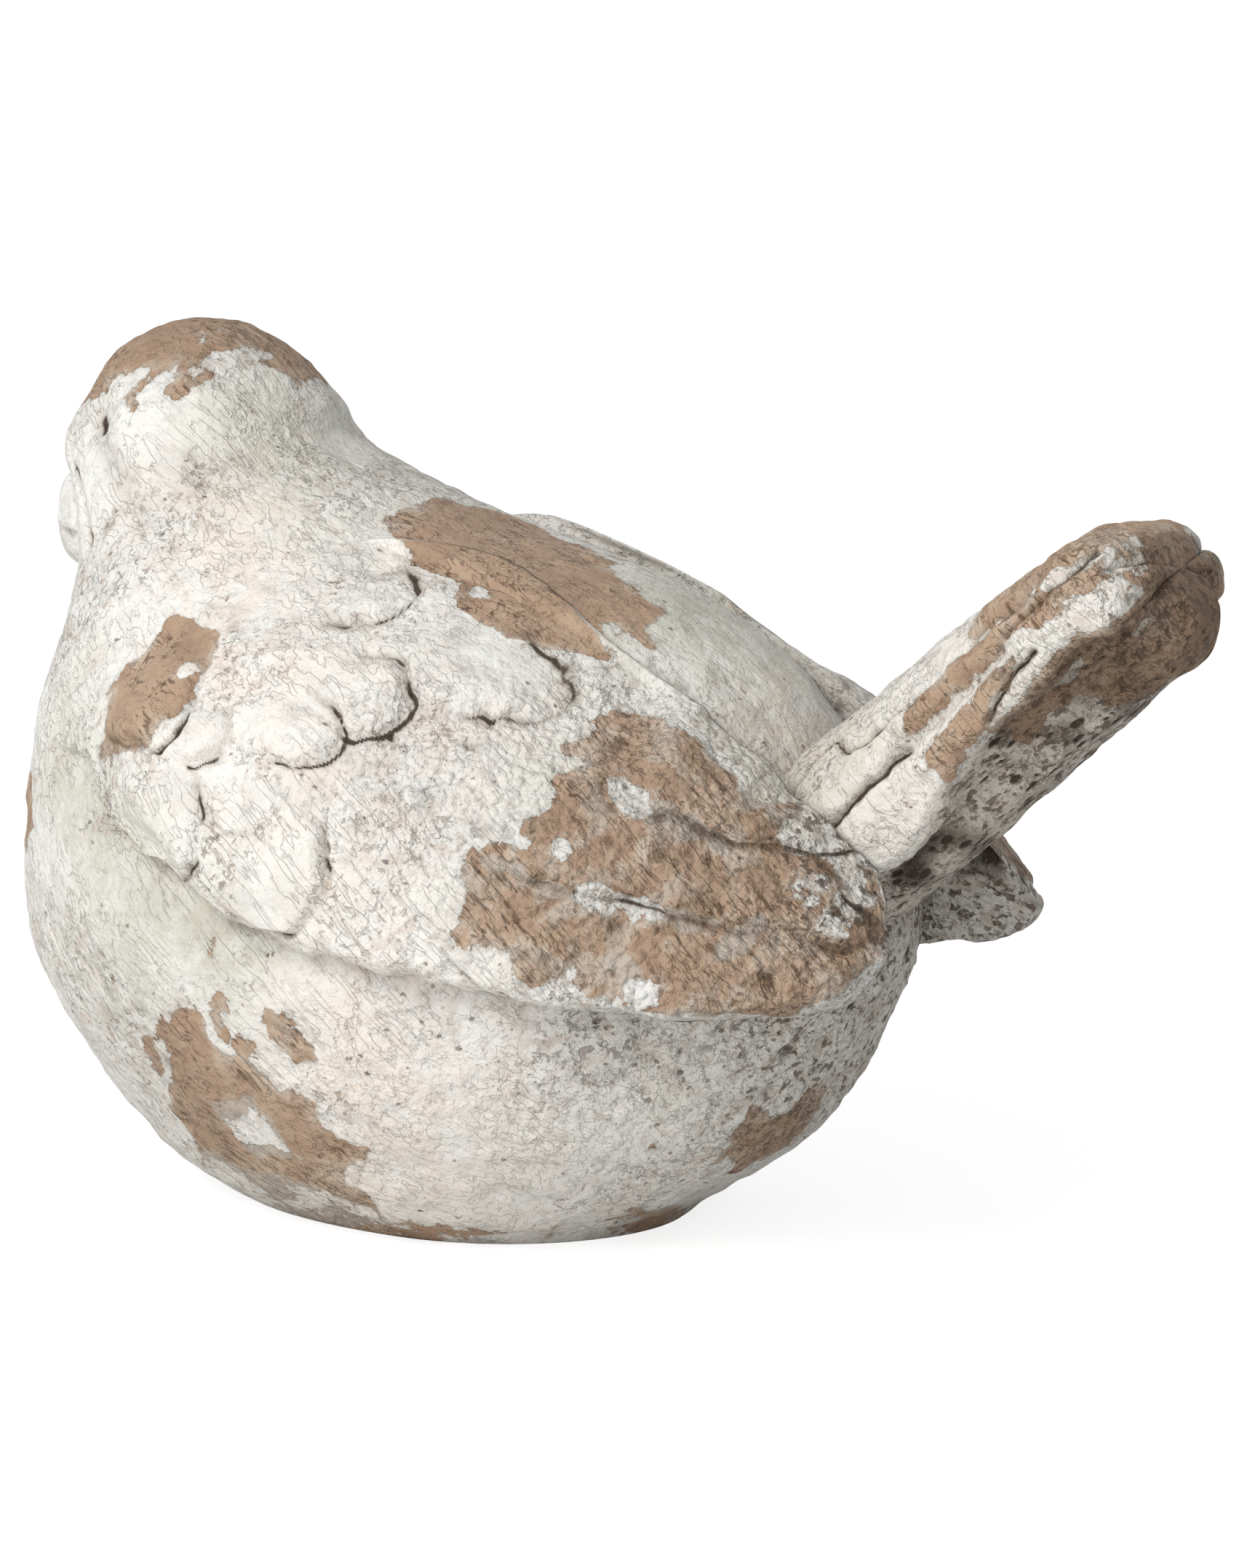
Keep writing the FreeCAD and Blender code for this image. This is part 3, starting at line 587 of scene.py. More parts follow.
def closed_form(name, rings, first, last, attributes, hard_rings=()):
    """A piece from rings of points, closed by a fan at each end; attributes hold a number a ring point,
    and the edges along the hard rings stay sharp."""
    count, around = rings.shape[:2]
    points = kept_in_box(np.vstack([[first], rings.reshape(-1, 3), [last]]))
    row, column = np.meshgrid(np.arange(count - 1), np.arange(around), indexing="ij")
    after = (column + 1) % around
    low = row * around + 1
    high = low + around
    quads = np.stack([low + column, low + after, high + after, high + column], axis=-1).reshape(-1, 4)
    step = np.arange(around)
    top = (count - 1) * around + 1
    start_fan = np.stack([np.zeros(around, int), (step + 1) % around + 1, step + 1], axis=-1)
    end_fan = np.stack([np.full(around, len(points) - 1), top + step, top + (step + 1) % around], axis=-1)
    corners = points[quads]
    if np.einsum("ij,ij->", corners[:, 0], np.cross(corners[:, 1], corners[:, 2])) < 0.0:
        quads = quads[:, ::-1]
        start_fan = start_fan[:, ::-1]
        end_fan = end_fan[:, ::-1]
    loops = np.concatenate([quads.ravel(), start_fan.ravel(), end_fan.ravel()])
    sizes = np.concatenate([np.full(len(quads), 4), np.full(2 * around, 3)])
    mesh = bpy.data.meshes.new(name)
    mesh.vertices.add(len(points))
    mesh.vertices.foreach_set("co", (points * MM).ravel())
    mesh.loops.add(len(loops))
    mesh.loops.foreach_set("vertex_index", loops)
    mesh.polygons.add(len(sizes))
    mesh.polygons.foreach_set("loop_start", np.concatenate([[0], np.cumsum(sizes)[:-1]]))
    mesh.update(calc_edges=True)
    mesh.validate()
    mesh.shade_smooth()
    for key, values in attributes.items():
        flat = np.concatenate([[values[0].mean()], values.ravel(), [values[-1].mean()]])
        layer = mesh.attributes.new(key, "FLOAT", "POINT")
        layer.data.foreach_set("value", flat)
    if hard_rings:
        ends = np.zeros(len(mesh.edges) * 2, int)
        mesh.edges.foreach_get("vertices", ends)
        on_row = (ends.reshape(-1, 2) - 1) // around
        hard = (on_row[:, 0] == on_row[:, 1]) & np.isin(on_row[:, 0], hard_rings)
        layer = mesh.attributes.new("sharp_edge", "BOOLEAN", "EDGE")
        layer.data.foreach_set("value", hard)
    return put_in_scene(name, mesh)


def torso():
    """From the pour hole in the base outward, up the body's wall, and in again under the neck joint."""
    turn = ring_turns(BODY_AROUND)
    hole = POUR_HOLE_RADIUS * np.stack([np.cos(turn), np.sin(turn), 0.0 * turn], axis=-1)
    hole[:, 1] += POUR_HOLE_BACK
    base = body_points(0.0 * turn, turn)
    rows = [hole + [0.0, 0.0, lift] for lift in (POUR_HOLE_DEPTH, 11.0, 6.0, 1.0, 0.3)]
    rows += [hole + (base - hole) * share for share in (0.02, 0.1, 0.3, 0.5, 0.7, 0.85, 0.95, 0.985)]
    flat_rows = len(rows)
    climb = np.linspace(0.0, 1.0, int(205 * FINE)) ** 1.12
    level = climb[:, None] * joint_heights(turn)[None, :]
    wall, dirt = worked_wall(level, turn, smooth_step(level, 0.0, 5.0))
    wall[0] = base
    wall[..., 2] = np.maximum(wall[..., 2], 0.0)
    middle = np.array([0.0, JOINT_MIDDLE[0], JOINT_MIDDLE[1]])
    lid = [middle + (wall[-1] - middle) * share for share in (0.97, 0.6, 0.2)]
    rings = np.concatenate([rows, wall, lid])
    full_dirt_and_painted_shade = np.zeros(rings.shape[:2])
    full_dirt_and_painted_shade[flat_rows:flat_rows + len(wall)] = dirt
    joint_row = flat_rows + len(wall) - 1
    attributes = body_attributes(rings, full_dirt_and_painted_shade)
    plug_end = (0.0, POUR_HOLE_BACK, POUR_HOLE_DEPTH)
    return closed_form("torso_surface", rings, plug_end, middle, attributes, (joint_row, flat_rows))


def head():
    """From under the neck joint outward, then up to the crown."""
    turn = ring_turns(BODY_AROUND)
    joint = joint_heights(turn)
    climb = np.sin(np.linspace(0.0, 0.995, int(175 * FINE)) * math.pi / 2.0)
    level = joint + climb[:, None] * (CROWN_HEIGHT - joint)
    wall, dirt = worked_wall(level, turn)
    middle = np.array([0.0, JOINT_MIDDLE[0], JOINT_MIDDLE[1] + 0.1])
    floor_rows = [middle + (wall[0] - middle) * share for share in (0.2, 0.6, 0.97)]
    rings = np.concatenate([floor_rows, wall])
    full_dirt_and_painted_shade = np.zeros(rings.shape[:2])
    full_dirt_and_painted_shade[3:] = dirt
    top = wall[-1].mean(axis=0) + [0.0, 0.0, 0.01]
    return closed_form("head_surface", rings, middle, top, body_attributes(rings, full_dirt_and_painted_shade), (3,))


def beak_surface():
    """A blunt beak: rings along its length that fall to a round tip, with the parting line of its halves."""
    turn = ring_turns(220)
    along = np.sin(np.linspace(0.0, 0.995, int(160 * FINE)) * math.pi / 2.0)[:, None]
    swell = np.sqrt(unit(1.0 - along ** 4.0))
    wide = 11.9 * swell * (1.0 - 0.06 * along)
    high = 13.8 * swell ** 0.45
    middle = 154.0 + 1.2 * along
    back = BEAK_ROOT - BEAK_REACH * along + 0.0 * turn
    points = np.stack([wide * np.cos(turn), back, middle + high * np.sin(turn)], axis=-1)
    outward = np.stack([
        np.cos(turn) + 0.0 * along, -0.6 * along + 0.0 * turn, np.sin(turn) + 0.0 * along], axis=-1)
    outward = direction(outward)
    parting = bell(points[..., 2] - 151.0 + 0.12 * (points[..., 1] + 100.0), 0.9)
    height = 0.5 * chalk_unevenness(points) - 0.4 - 0.5 * parting
    points = points + outward * (height * swell)[..., None]
    # painted shade in the parting line and in the lows of the lumps
    dirt = unit(0.5 * parting + 0.3 * unit(-lumps(points, 4.0, 61)))
    attributes = body_attributes(points, dirt)
    return closed_form("beak_surface", points, (0.0, BEAK_ROOT, 155.0), points[-1].mean(axis=0), attributes)


def feather_relief(side):
    """Height of the wing's feathers and the painted shade in the gullies at their edges: each rises to its
    free edge.
    """
    height = np.zeros(side.shape[:-1])
    painted_groove_shade = np.zeros(side.shape[:-1])
    flat = np.dstack([side, side[..., :1] * 0.0])
    wander = [1.3 * lumps(flat, 7.0, seed) + 0.5 * lumps(flat, 2.5, seed + 3) for seed in (51, 52)]
    moved = side + np.stack(wander, axis=-1)
    for group, lift, gap_low in ((FLIGHT_FEATHERS, 2.6, -1.2), (COVERTS, 2.7, -1.0)):
        for outline, fall in group:
            shape = rounded(outline)
            way = np.array(fall) / np.linalg.norm(fall)
            reach = shape @ way
            share = unit((moved @ way - reach.min()) / (reach.max() - reach.min()))
            depth = outline_depth(moved, shape)
            free = smooth_step(share, 0.35, 0.85)
            bound = 1.0 - free
            raised = lift * smooth_step(share, 0.0, 0.8)
            raised = raised * smooth_step(depth, -0.6 - 5.0 * bound, 2.2 + 4.0 * bound)
            height = np.maximum(height, raised)
            gully = bell(depth + 0.9, 0.72) * free
            gully = gully * smooth_step(lumps(flat, 9.0, 53), gap_low, 0.0)
            height = height - 1.8 * gully
            painted_groove_shade = np.maximum(painted_groove_shade * (1.0 - smooth_step(depth, 0.0, 1.0)), gully)
    return height, painted_groove_shade


def wing(name, side_sign):
    """The folded wing: from flank line to back line over the outer form, then back along the inner face."""
    stations = int(370 * FINE)
    across = int(215 * FINE)
    back_line = np.array(WING_BACK_LINE, float)
    flank_line = np.array(WING_FLANK_LINE, float)
    # towards its tip, the far wing's lower edge stands a little higher in the photograph
    if side_sign < 0.0:
        flank_line[:, 1] += 3.6 * smooth_step(flank_line[:, 0], 78.0, 105.0) * (flank_line[:, 0] < 130.0)
    share = np.linspace(0.0, 1.0, stations + 2)[1:-1]
    share = 0.5 * share + 0.25 * (1.0 - np.cos(share * math.pi))
    pick = np.linspace(0.0, 1.0, 400)
    dense = []
    for line in (back_line, flank_line):
        lengths = np.concatenate([[0.0], np.cumsum(np.linalg.norm(np.diff(line, axis=0), axis=1))])
        dense.append(through(lengths / lengths[-1], line, pick))
    upper, lower = dense
    upper_at, lower_at = [
        np.stack([np.interp(share, pick, line[:, k]) for k in range(2)], axis=-1) for line in dense]
    v = np.linspace(0.0, 1.0, across)
    v = 0.45 * v + 0.275 * (1.0 - np.cos(v * math.pi))
    side = lower_at[:, None] + v[None, :, None] * (upper_at - lower_at)[:, None]
    top_gap = line_gap(side, upper[::4])
    low_gap = line_gap(side, lower[::4])
    flat = np.dstack([side, side[..., :1] * 0.0])
    wander = [1.1 * lumps(flat, 8.0, seed) + 0.8 * lumps(flat, 3.2, seed + 1) for seed in (75, 77)]
    # feather edges wander and the outline with them, less along the back
    steady = smooth_step(-side[..., 0], -88.0, -66.0) * (top_gap < low_gap)
    near_edge = smooth_step(-np.minimum(top_gap, low_gap), -9.0, 0.0)
    side = side + np.stack(wander, axis=-1) * (near_edge * (1.0 - 0.85 * steady))[..., None]
    y, z = side[..., 0], side[..., 1]
    outer = side_width(WING_RINGS, y, z)
    body = side_width(BODY_RINGS, y, z)
    soft_top = smooth_step(-y, -88.0, -66.0)
    # the inner face lies on the body in front, and further back on a level plane with a web below
    web = 0.20 * np.clip(y - 38.0, 0.0, None) * unit(1.0 - (z - 62.0) / 24.0)
    inner = np.maximum(body - 0.4 + 0.3 * soft_top, np.minimum(WING_INNER_FACE + 0.6 * web, outer - 4.0))
    soft_low = smooth_step(-y, 8.0, 30.0)

    def lip(gap, soft, sharp_width, soft_width):
        """How far the wing stands out near its edge: rounded where it is free, sloping where it merges."""
        q = unit(gap / sharp_width)
        hard_edge = np.sqrt(unit(1.0 - (1.0 - q) ** 2))
        return hard_edge * (1.0 - soft) + smooth_step(gap, 0.0, soft_width) * soft

    edge = lip(top_gap, soft_top, 5.5, 24.0) * lip(low_gap, soft_low, 5.0, 13.0)
    feathers, painted_groove_shade = feather_relief(side)
    x = inner + (outer - inner) * edge
    face = np.stack([x, y, z], axis=-1)
    stipple = smooth_step(y, -8.0, 30.0) * smooth_step(-z, -140.0, -118.0) * smooth_step(y + z, 110.0, 150.0)
    fade = smooth_step(edge, 0.1, 0.9)
    hollows = pits(face, 6.0, 1.7, 0.55, 71)
    height = chalk_unevenness(face) + fade * feathers
    height = height + stipple * (0.50 * lumps(face, 3.0, 72) + 0.45 * lumps(face, 1.8, 73))
    height = height - hollows * (0.2 + 0.8 * stipple) * fade
    height = height + 0.9 * bell(top_gap - 3.0, 1.7) * (1.0 - soft_top)
    knob = np.linalg.norm(side - np.array(CHIPPED_KNOB), axis=-1)
    height = height - 1.8 * bell(knob, 2.4) + 1.0 * bell(knob - 4.2, 1.6)
    facing = np.cross(np.gradient(face, axis=1), np.gradient(face, axis=0))
    facing = direction(facing) * np.sign(facing[..., :1])
    facing = facing * soft_top[..., None] + np.array([1.0, 0.0, 0.0]) * (1.0 - soft_top)[..., None]
    face = face + facing * (height * smooth_step(edge, 0.0, 0.02 + 0.14 * soft_top))[..., None]
    face[..., 0] -= 0.5 - 0.45 * soft_top
    # the inner wall leans in a little, so that the far wing shows no dark slit
    slant = 0.9 * np.clip(top_gap, 0.0, 8.0) * smooth_step(-y, -78.0, -58.0)
    back_wall = np.stack([inner - 1.4 - slant, y, z], axis=-1)[:, ::-1][:, ::6]
    loop = np.concatenate([face, back_wall], axis=1)
    patchy = smooth_step(lumps(loop, 6.0, 74), 0.0, 0.7)
    # painted shade: the inner wall is darker all over, more so towards the back; on the outer face the
    # gullies, pits and lows of the lumps are darker
    dirt = 0.25 + (0.2 + 0.5 * patchy) * smooth_step(loop[..., 1], 50.0, 80.0)
    dirt[:, :across] = unit(painted_groove_shade + 0.5 * hollows * (0.3 + stipple) + 0.3 * unit(-lumps(face, 5.0, 13)))
    loop[..., 0] *= side_sign
    attributes = body_attributes(loop, dirt)
    attributes["bare"][:, across:] -= 12.0
    stippled = np.zeros(loop.shape[:2])
    stippled[:, :across] = stipple
    attributes["stipple"] = stippled
    attributes["clean"][:, :across] = np.maximum(
        attributes["clean"][:, :across], 0.9 * smooth_step(feathers, 0.9, 2.0) * (1.0 - stipple))
    start = loop[0].mean(axis=0)
    end = loop[-1].mean(axis=0)
    return closed_form(name, loop, start, end, attributes)


def tail_relief(points, along, across, side_share):
    """Strips, grooves and the sharp lower edge on the tail's sides, by place along and across it."""
    flat = np.stack([along, across], axis=-1)
    # each groove: its line, width, depth and the darkness of the painted shade in it
    grooves = [
        ([(22, -9), (33, -6), (40, -4), (47, -2), (55, -1), (61, 1)], 1.1, 2.2, 1.0),
        ([(60, 1), (66, 2), (75, 3), (81, 4), (87, 4), (96, 6)], 2.4, 2.6, 0.45),
        ([(85, -6), (89, -4), (94, -2), (100, 0), (104, 1)], 1.0, 1.5, 1.0),
        ([(99, 8), (110, 9), (118, 11), (125, 12)], 1.1, 1.5, 0.9),
        ([(30, 8), (37, 13), (42, 13), (48, 9), (53, 8), (59, 9), (69, 9)], 0.9, 1.2, 0.9),
        ([(88, 12), (98, 13), (106, 14)], 1.2, 1.0, 0.5),
    ]
    moved = flat + np.stack([lumps(points, 6.0, 84), lumps(points, 6.0, 85)], axis=-1)
    moved = moved + 0.5 * np.stack([lumps(points, 2.2, 86), lumps(points, 2.2, 87)], axis=-1)
    height = np.zeros(along.shape)
    painted_groove_shade = np.zeros(along.shape)
    for line, wide, deep, dark in grooves:
        gap = line_gap(moved, line)
        height = height - deep * bell(gap, wide)
        painted_groove_shade = np.maximum(painted_groove_shade, dark * bell(gap, 0.8 * wide))
    # each raised strip: its line, width and height
    ridges = [
        ([(64, 5), (80, 7), (96, 9), (112, 9), (123, 6)], 3.2, 1.4),
        ([(66, -6), (78, -3), (90, 0), (104, 4), (116, 3), (123, 1)], 3.6, 1.8),
        ([(90, 16), (106, 17), (120, 17)], 3.6, 1.0),
        ([(30, -2), (44, 3), (56, 4)], 3.5, 0.9),
    ]
    for line, wide, deep in ridges:
        height = height + deep * bell(line_gap(moved, line), wide)
    depth = outline_depth(moved, TAIL_UPPER_PART)
    under = smooth_step(-depth, 0.0, 5.5)
    height = height - 4.8 * under + 0.8 * bell(depth - 1.4, 1.6)
    # the part past the edge, which is painted darker as shade
    dark = smooth_step(-depth, -0.5, 4.0)
    return height * side_share, painted_groove_shade * side_share, dark


def tail():
    """The raised tail: sections square to its rising axis, closed by three stacked feather ends."""
    table = np.array(TAIL_RINGS)
    steps = np.linalg.norm(np.diff(table[:, :2], axis=0), axis=1)
    places = np.concatenate([[0.0], np.cumsum(steps)])
    t = np.linspace(0.0, 1.0, int(285 * FINE))
    s = places[-1] * (t * 0.8 + 0.2 * np.sin(t * math.pi / 2.0))
    rows = through(places, table, s)
    ahead = through(places, table[:, :2], s + 0.5) - through(places, table[:, :2], s - 0.5)
    ahead = direction(ahead)
    turn = ring_turns(330)
    middle_y, middle_z, widest, half, above, below = [rows[:, k][:, None] for k in range(6)]
    lift = np.where(np.sin(turn) > 0.0, above - widest, below + widest) * np.sin(turn) + widest
    up_y, up_z = -ahead[:, 1][:, None], ahead[:, 0][:, None]
    points = np.stack([
        half * np.cos(turn), middle_y + up_y * lift, middle_z + up_z * lift], axis=-1)
    outward = np.stack([
        np.cos(turn) / half, up_y * np.sin(turn) / above, up_z * np.sin(turn) / above], axis=-1)
    outward = direction(outward)
    run = np.array(TAIL_RISE)
    offset = points[..., 1:] - np.array(TAIL_RINGS[0][:2])
    along = offset @ run
    across = offset @ np.array([-run[1], run[0]])
    side_share = smooth_step(np.abs(np.cos(turn)) + 0.0 * along, 0.25, 0.6)
    strips, painted_groove_shade, under = tail_relief(points, along, across, side_share)
    end = smooth_step(s[:, None] + 0.0 * turn, places[-1] - 14.0, places[-1])
    # three feather ends, 12 mm apart
    part = np.mod(across / 12.0 + 0.35, 1.0)
    lobe = np.sqrt(unit(1.0 - (2.0 * part - 1.0) ** 2)) - 0.6
    stretched = np.stack([points[..., 0], 0.45 * along, across], axis=-1)
    hollows = pits(stretched, 2.0, 0.70, 0.85, 81)
    height = chalk_unevenness(points) + strips + 1.6 * end * lobe
    height = height + 0.55 * lumps(points, 3.4, 89) * smooth_step(along, 50.0, 75.0) * side_share
    height = height - hollows * (0.1 + 0.7 * under)
    points = points + outward * (height - 0.6)[..., None]
    points[..., 1:] += run * (3.0 * end * lobe)[..., None]
    # painted shade on the underside, with darker pits in it
    shade = 0.74 * under + 0.25 * under * lumps(points, 9.0, 88)
    dirt = unit(np.maximum(painted_groove_shade, shade + 0.42 * hollows * under))
    flat = np.stack([along, across], axis=-1)
    bare = bare_depth(flat, TAIL_PATCHES, TAIL_ISLANDS, 1.0)
    bare = 1.5 * bare + 1.2 + 1.6 * lumps(points, 7.0, 82) + 1.0 * lumps(points, 3.5, 83)
    attributes = body_attributes(points, dirt)
    attributes["bare"] = bare
    attributes["pitted"] = unit(0.2 + under)
    # the greenish tint on the underside is painted shade too
    attributes["green"] = unit(attributes["green"] + 0.3 * under)
    return closed_form("tail_surface", points, points[0].mean(axis=0), points[-1].mean(axis=0), attributes)


def linear(code):
    """An sRGB hex colour as the linear numbers that shaders take."""
    parts = [int(code[k:k + 2], 16) / 255.0 for k in (1, 3, 5)]
    return [p / 12.92 if p <= 0.04045 else ((p + 0.055) / 1.055) ** 2.4 for p in parts] + [1.0]


def feed(tree, node, inputs):
    """Gives a node its inputs, by name or in their order: sockets are linked, other values are set."""
    for key, value in inputs.items() if isinstance(inputs, dict) else enumerate(inputs):
        if isinstance(value, bpy.types.NodeSocket):
            tree.links.new(value, node.inputs[key])
        else:
            node.inputs[key].default_value = value


def add_node(tree, kind, inputs=(), **settings):
    """Adds one node with its settings and inputs, and gives its outputs."""
    made = tree.nodes.new("ShaderNode" + kind)
    for key, value in settings.items():
        setattr(made, key, value)
    feed(tree, made, inputs)
    return made.outputs


def material(name, finish, **choices):
    """A material whose main shader takes what the finish works out in its node tree."""
    made = bpy.data.materials.new(name)
    made.use_nodes = True
    tree = made.node_tree
    feed(tree, tree.nodes["Principled BSDF"], finish(functools.partial(add_node, tree), **choices))
    return made


# Places of a Mix node's share, first colour, second colour and result, when it mixes colours
MIX_SHARE, MIX_FIRST, MIX_SECOND, MIX_RESULT = 0, 6, 7, 2

# Noises of the chalk coat: grain in millimetres, detail, roughness and the map they lie on.
# The finest are drawn a little coarser than real ones, so that they show in the render.
COAT_NOISES = {
    "stipple": (1.9, 5.0, 0.62, "plain"),
    "knobs": (4.4, 3.0, 0.5, "plain"),
    "crumbs": (0.7, 3.0, 0.6, "plain"),
    "edge": (5.0, 6.0, 0.62, "plain"),
    "stain": (26.0, 5.0, 0.6, "plain"),
    "mottle": (9.0, 6.0, 0.65, "plain"),
    "crumbly": (34.0, 3.0, 0.6, "plain"),
    "broken": (2.4, 2.0, 0.6, "plain"),
    "fissures": (3.6, 4.0, 0.6, "plain"),
    "bristles": (0.9, 3.0, 0.55, "brushed"),
    "strokes": (2.6, 3.0, 0.5, "brushed"),
    "gouges": (1.5, 3.0, 0.6, "brushed"),
    "eaten": (2.4, 2.0, 0.5, "shaken"),
}
# Spacing of the cells that may hold a hole, in millimetres
HOLE_SPACINGS = {"pinhole": 5.5, "speck": 2.3}
POPCORN_GRAIN = 2.1
# Arithmetic of the coat: the name of each result and the step that gives it, which may hold further
# steps. RANGE rises smoothly from 0 to 1 between its two numbers, or from the third to the fourth.
COAT_STEPS = [
    # how rough and crumbly the chalk is
    ("crumbly", ("ADD", ("RANGE", "crumbly", 0.44, 0.58), "pitted")),
    ("broken", ("RANGE", "broken", 0.50, 0.60)),
    ("rough", ("MINIMUM", ("MULTIPLY_ADD", "crumbly", 0.75, 0.25), 1.0)),
    ("rough", ("MULTIPLY", "rough", ("MULTIPLY_ADD", "clean", -0.8, 1.0))),
    # thin lines where a noise crosses its middle value
    ("fissures", ("RANGE", ("ABSOLUTE", ("SUBTRACT", "fissures", 0.5)), 0.0, 0.045, 1.0, 0.0)),
    ("fissures", ("MULTIPLY", ("MULTIPLY", "fissures", "rough"), "broken")),
    ("strokes", ("RANGE", ("ABSOLUTE", ("SUBTRACT", "strokes", 0.5)), 0.0, 0.020, 1.0, 0.0)),
    ("strokes", ("MULTIPLY", "strokes", ("RANGE", "stain", 0.38, 0.54))),
    ("gouges", ("MULTIPLY", ("RANGE", "gouges", 0.43, 0.35), ("RANGE", "stain", 0.40, 0.52))),
    # holes of uneven size, in some of the cells only
    ("wide", ("MULTIPLY_ADD", "pinhole size", 0.07, ("MULTIPLY_ADD", "pitted", 0.021, 0.03))),
    ("pinhole", ("RANGE", ("SUBTRACT", "wide", "pinhole gap"), -0.028, 0.035)),
    ("share", ("MULTIPLY_ADD", "pitted", 0.35, 0.12)),
    ("pinhole", ("MULTIPLY", "pinhole", ("LESS_THAN", "pinhole draw", "share"))),
    ("wide", ("MULTIPLY_ADD", "speck size", 0.2, ("MULTIPLY_ADD", "pitted", 0.06, 0.03))),
    ("speck", ("RANGE", ("SUBTRACT", "wide", "speck gap"), -0.08, 0.1)),
    ("share", ("MULTIPLY", ("RANGE", "mottle", 0.44, 0.62), ("MULTIPLY_ADD", "stippled", 0.25, 0.22))),
    ("share", ("MULTIPLY_ADD", "pitted", 0.75, "share")),
    ("speck", ("MULTIPLY", "speck", ("LESS_THAN", "speck draw", "share"))),
    ("eaten", ("MULTIPLY", ("RANGE", "eaten", 0.43, 0.36), ("RANGE", "pitted", 0.25, 0.95))),
    # ragged edge of the bare clay, its raised rim, and chalk left behind on the clay
    ("ragged", ("ADD", "bare", ("MULTIPLY_ADD", "edge", 7.0, -3.6))),
    ("ragged", ("ADD", "ragged", ("MULTIPLY_ADD", "stipple", 3.0, -1.5))),
    ("worn", ("RANGE", "ragged", -0.10, 0.10)),
    ("rim", ("MULTIPLY", ("RANGE", "ragged", -1.0, -0.1), ("RANGE", "ragged", -0.1, 0.05, 1.0, 0.0))),
    ("flecks", ("MULTIPLY", ("RANGE", "stain", 0.53, 0.68), ("RANGE", "crumbs", 0.40, 0.62))),
    ("residue", ("MULTIPLY", ("RANGE", "ragged", 0.0, 4.0, 0.75, 0.0), ("RANGE", "mottle", 0.46, 0.62))),
    ("residue", ("MAXIMUM", "residue", "flecks")),
    # shares of the layers of colour on the chalk
    ("warm", ("RANGE", "stain", 0.40, 0.66)),
    ("creamy", ("MULTIPLY", "cream", ("RANGE", "mottle", 0.36, 0.60))),
    ("greenish", ("MULTIPLY", "green", ("RANGE", "mottle", 0.30, 0.60, 0.35, 0.95))),
    ("dust", ("MULTIPLY", ("RANGE", "stipple", 0.42, 0.27), ("MULTIPLY", "rough", 0.62))),
    # painted shade between the swollen knobs
    ("hollow", ("MULTIPLY", ("RANGE", "knobs", 0.47, 0.36), ("MULTIPLY", "rough", 0.45))),
    ("brushed", ("MULTIPLY", ("RANGE", "bristles", 0.42, 0.28, 0.0, 0.35), "rough")),
    ("cracked", ("MULTIPLY", "fissures", 0.42)),
    ("lined", ("MULTIPLY", "strokes", ("MULTIPLY", "rough", 0.25))),
    # grime with painted shade, and near black where the painted shade is deepest
    ("grimy", ("MULTIPLY", "dirt", ("RANGE", "stipple", 0.25, 0.62, 1.0, 0.55))),
    ("black", ("RANGE", "dirt", 0.66, 0.92)),
    ("rimmed", ("MULTIPLY", "rim", 0.35)),
    # shares of those on the clay
    ("light clay", ("RANGE", "mottle", 0.34, 0.66)),
    ("dark clay", ("RANGE", "stain", 0.62, 0.44, 0.0, 0.5)),
    ("gouged clay", ("MULTIPLY", "gouges", 0.8)),
    ("lined clay", ("MULTIPLY", "strokes", 0.8)),
    ("chalky clay", ("MULTIPLY", "residue", 0.7)),
    ("filmed", ("RANGE", ("ADD", "film", ("MULTIPLY_ADD", "edge", 8.0, -4.0)), -0.8, 0.8)),
    ("filmed", ("MULTIPLY", "filmed", 0.75)),
    ("greyed", ("MULTIPLY", ("RANGE", "mottle", 0.50, 0.62), ("MULTIPLY_ADD", "stippled", 0.45, 0.05))),
    ("stained", ("MULTIPLY", ("RANGE", "stipple", 0.40, 0.28), 0.6)),
    # grime with painted shade on the clay
    ("grimy clay", ("MULTIPLY", "dirt", 0.8)),
    # shares of the holes' colours over both
    ("pinhole colour", ("MULTIPLY", "pinhole", 0.75)),
    ("speck colour", ("MULTIPLY", "speck", 0.7)),
    ("eaten colour", ("MULTIPLY", "eaten", 0.8)),
    # relief in millimetres: coat thickness, stipple, crumbs, bristle marks, pinholes
    ("relief", ("MULTIPLY_ADD", "rim", 0.10, ("MULTIPLY", "worn", -0.32))),
    ("depth", ("MULTIPLY_ADD", "stippled", 0.7, ("MULTIPLY_ADD", "rough", 0.55, 0.25))),
    ("relief", ("ADD", "relief", ("MULTIPLY", "stipple", "depth"))),
    ("depth", ("MULTIPLY_ADD", "stippled", -1.3, -0.25)),
    ("relief", ("ADD", "relief", ("MULTIPLY", "popcorn", "depth"))),
    ("worn gouges", ("MULTIPLY", "gouges", "worn")),
    ("swollen knobs", ("RANGE", "knobs", 0.46, 0.66)),
    ("rough depth", ("MULTIPLY", "rough", 0.75)),
]
# Further relief on top of it, in millimetres
COAT_RELIEF = [
    ("crumbs", 0.26), ("fissures", -0.45), ("worn gouges", -0.4), ("strokes", -0.25), ("bristles", 0.22),
    ("mottle", 1.8), ("swollen knobs", "rough depth"), ("pinhole", -0.7), ("speck", -0.4), ("eaten", -0.6),
]
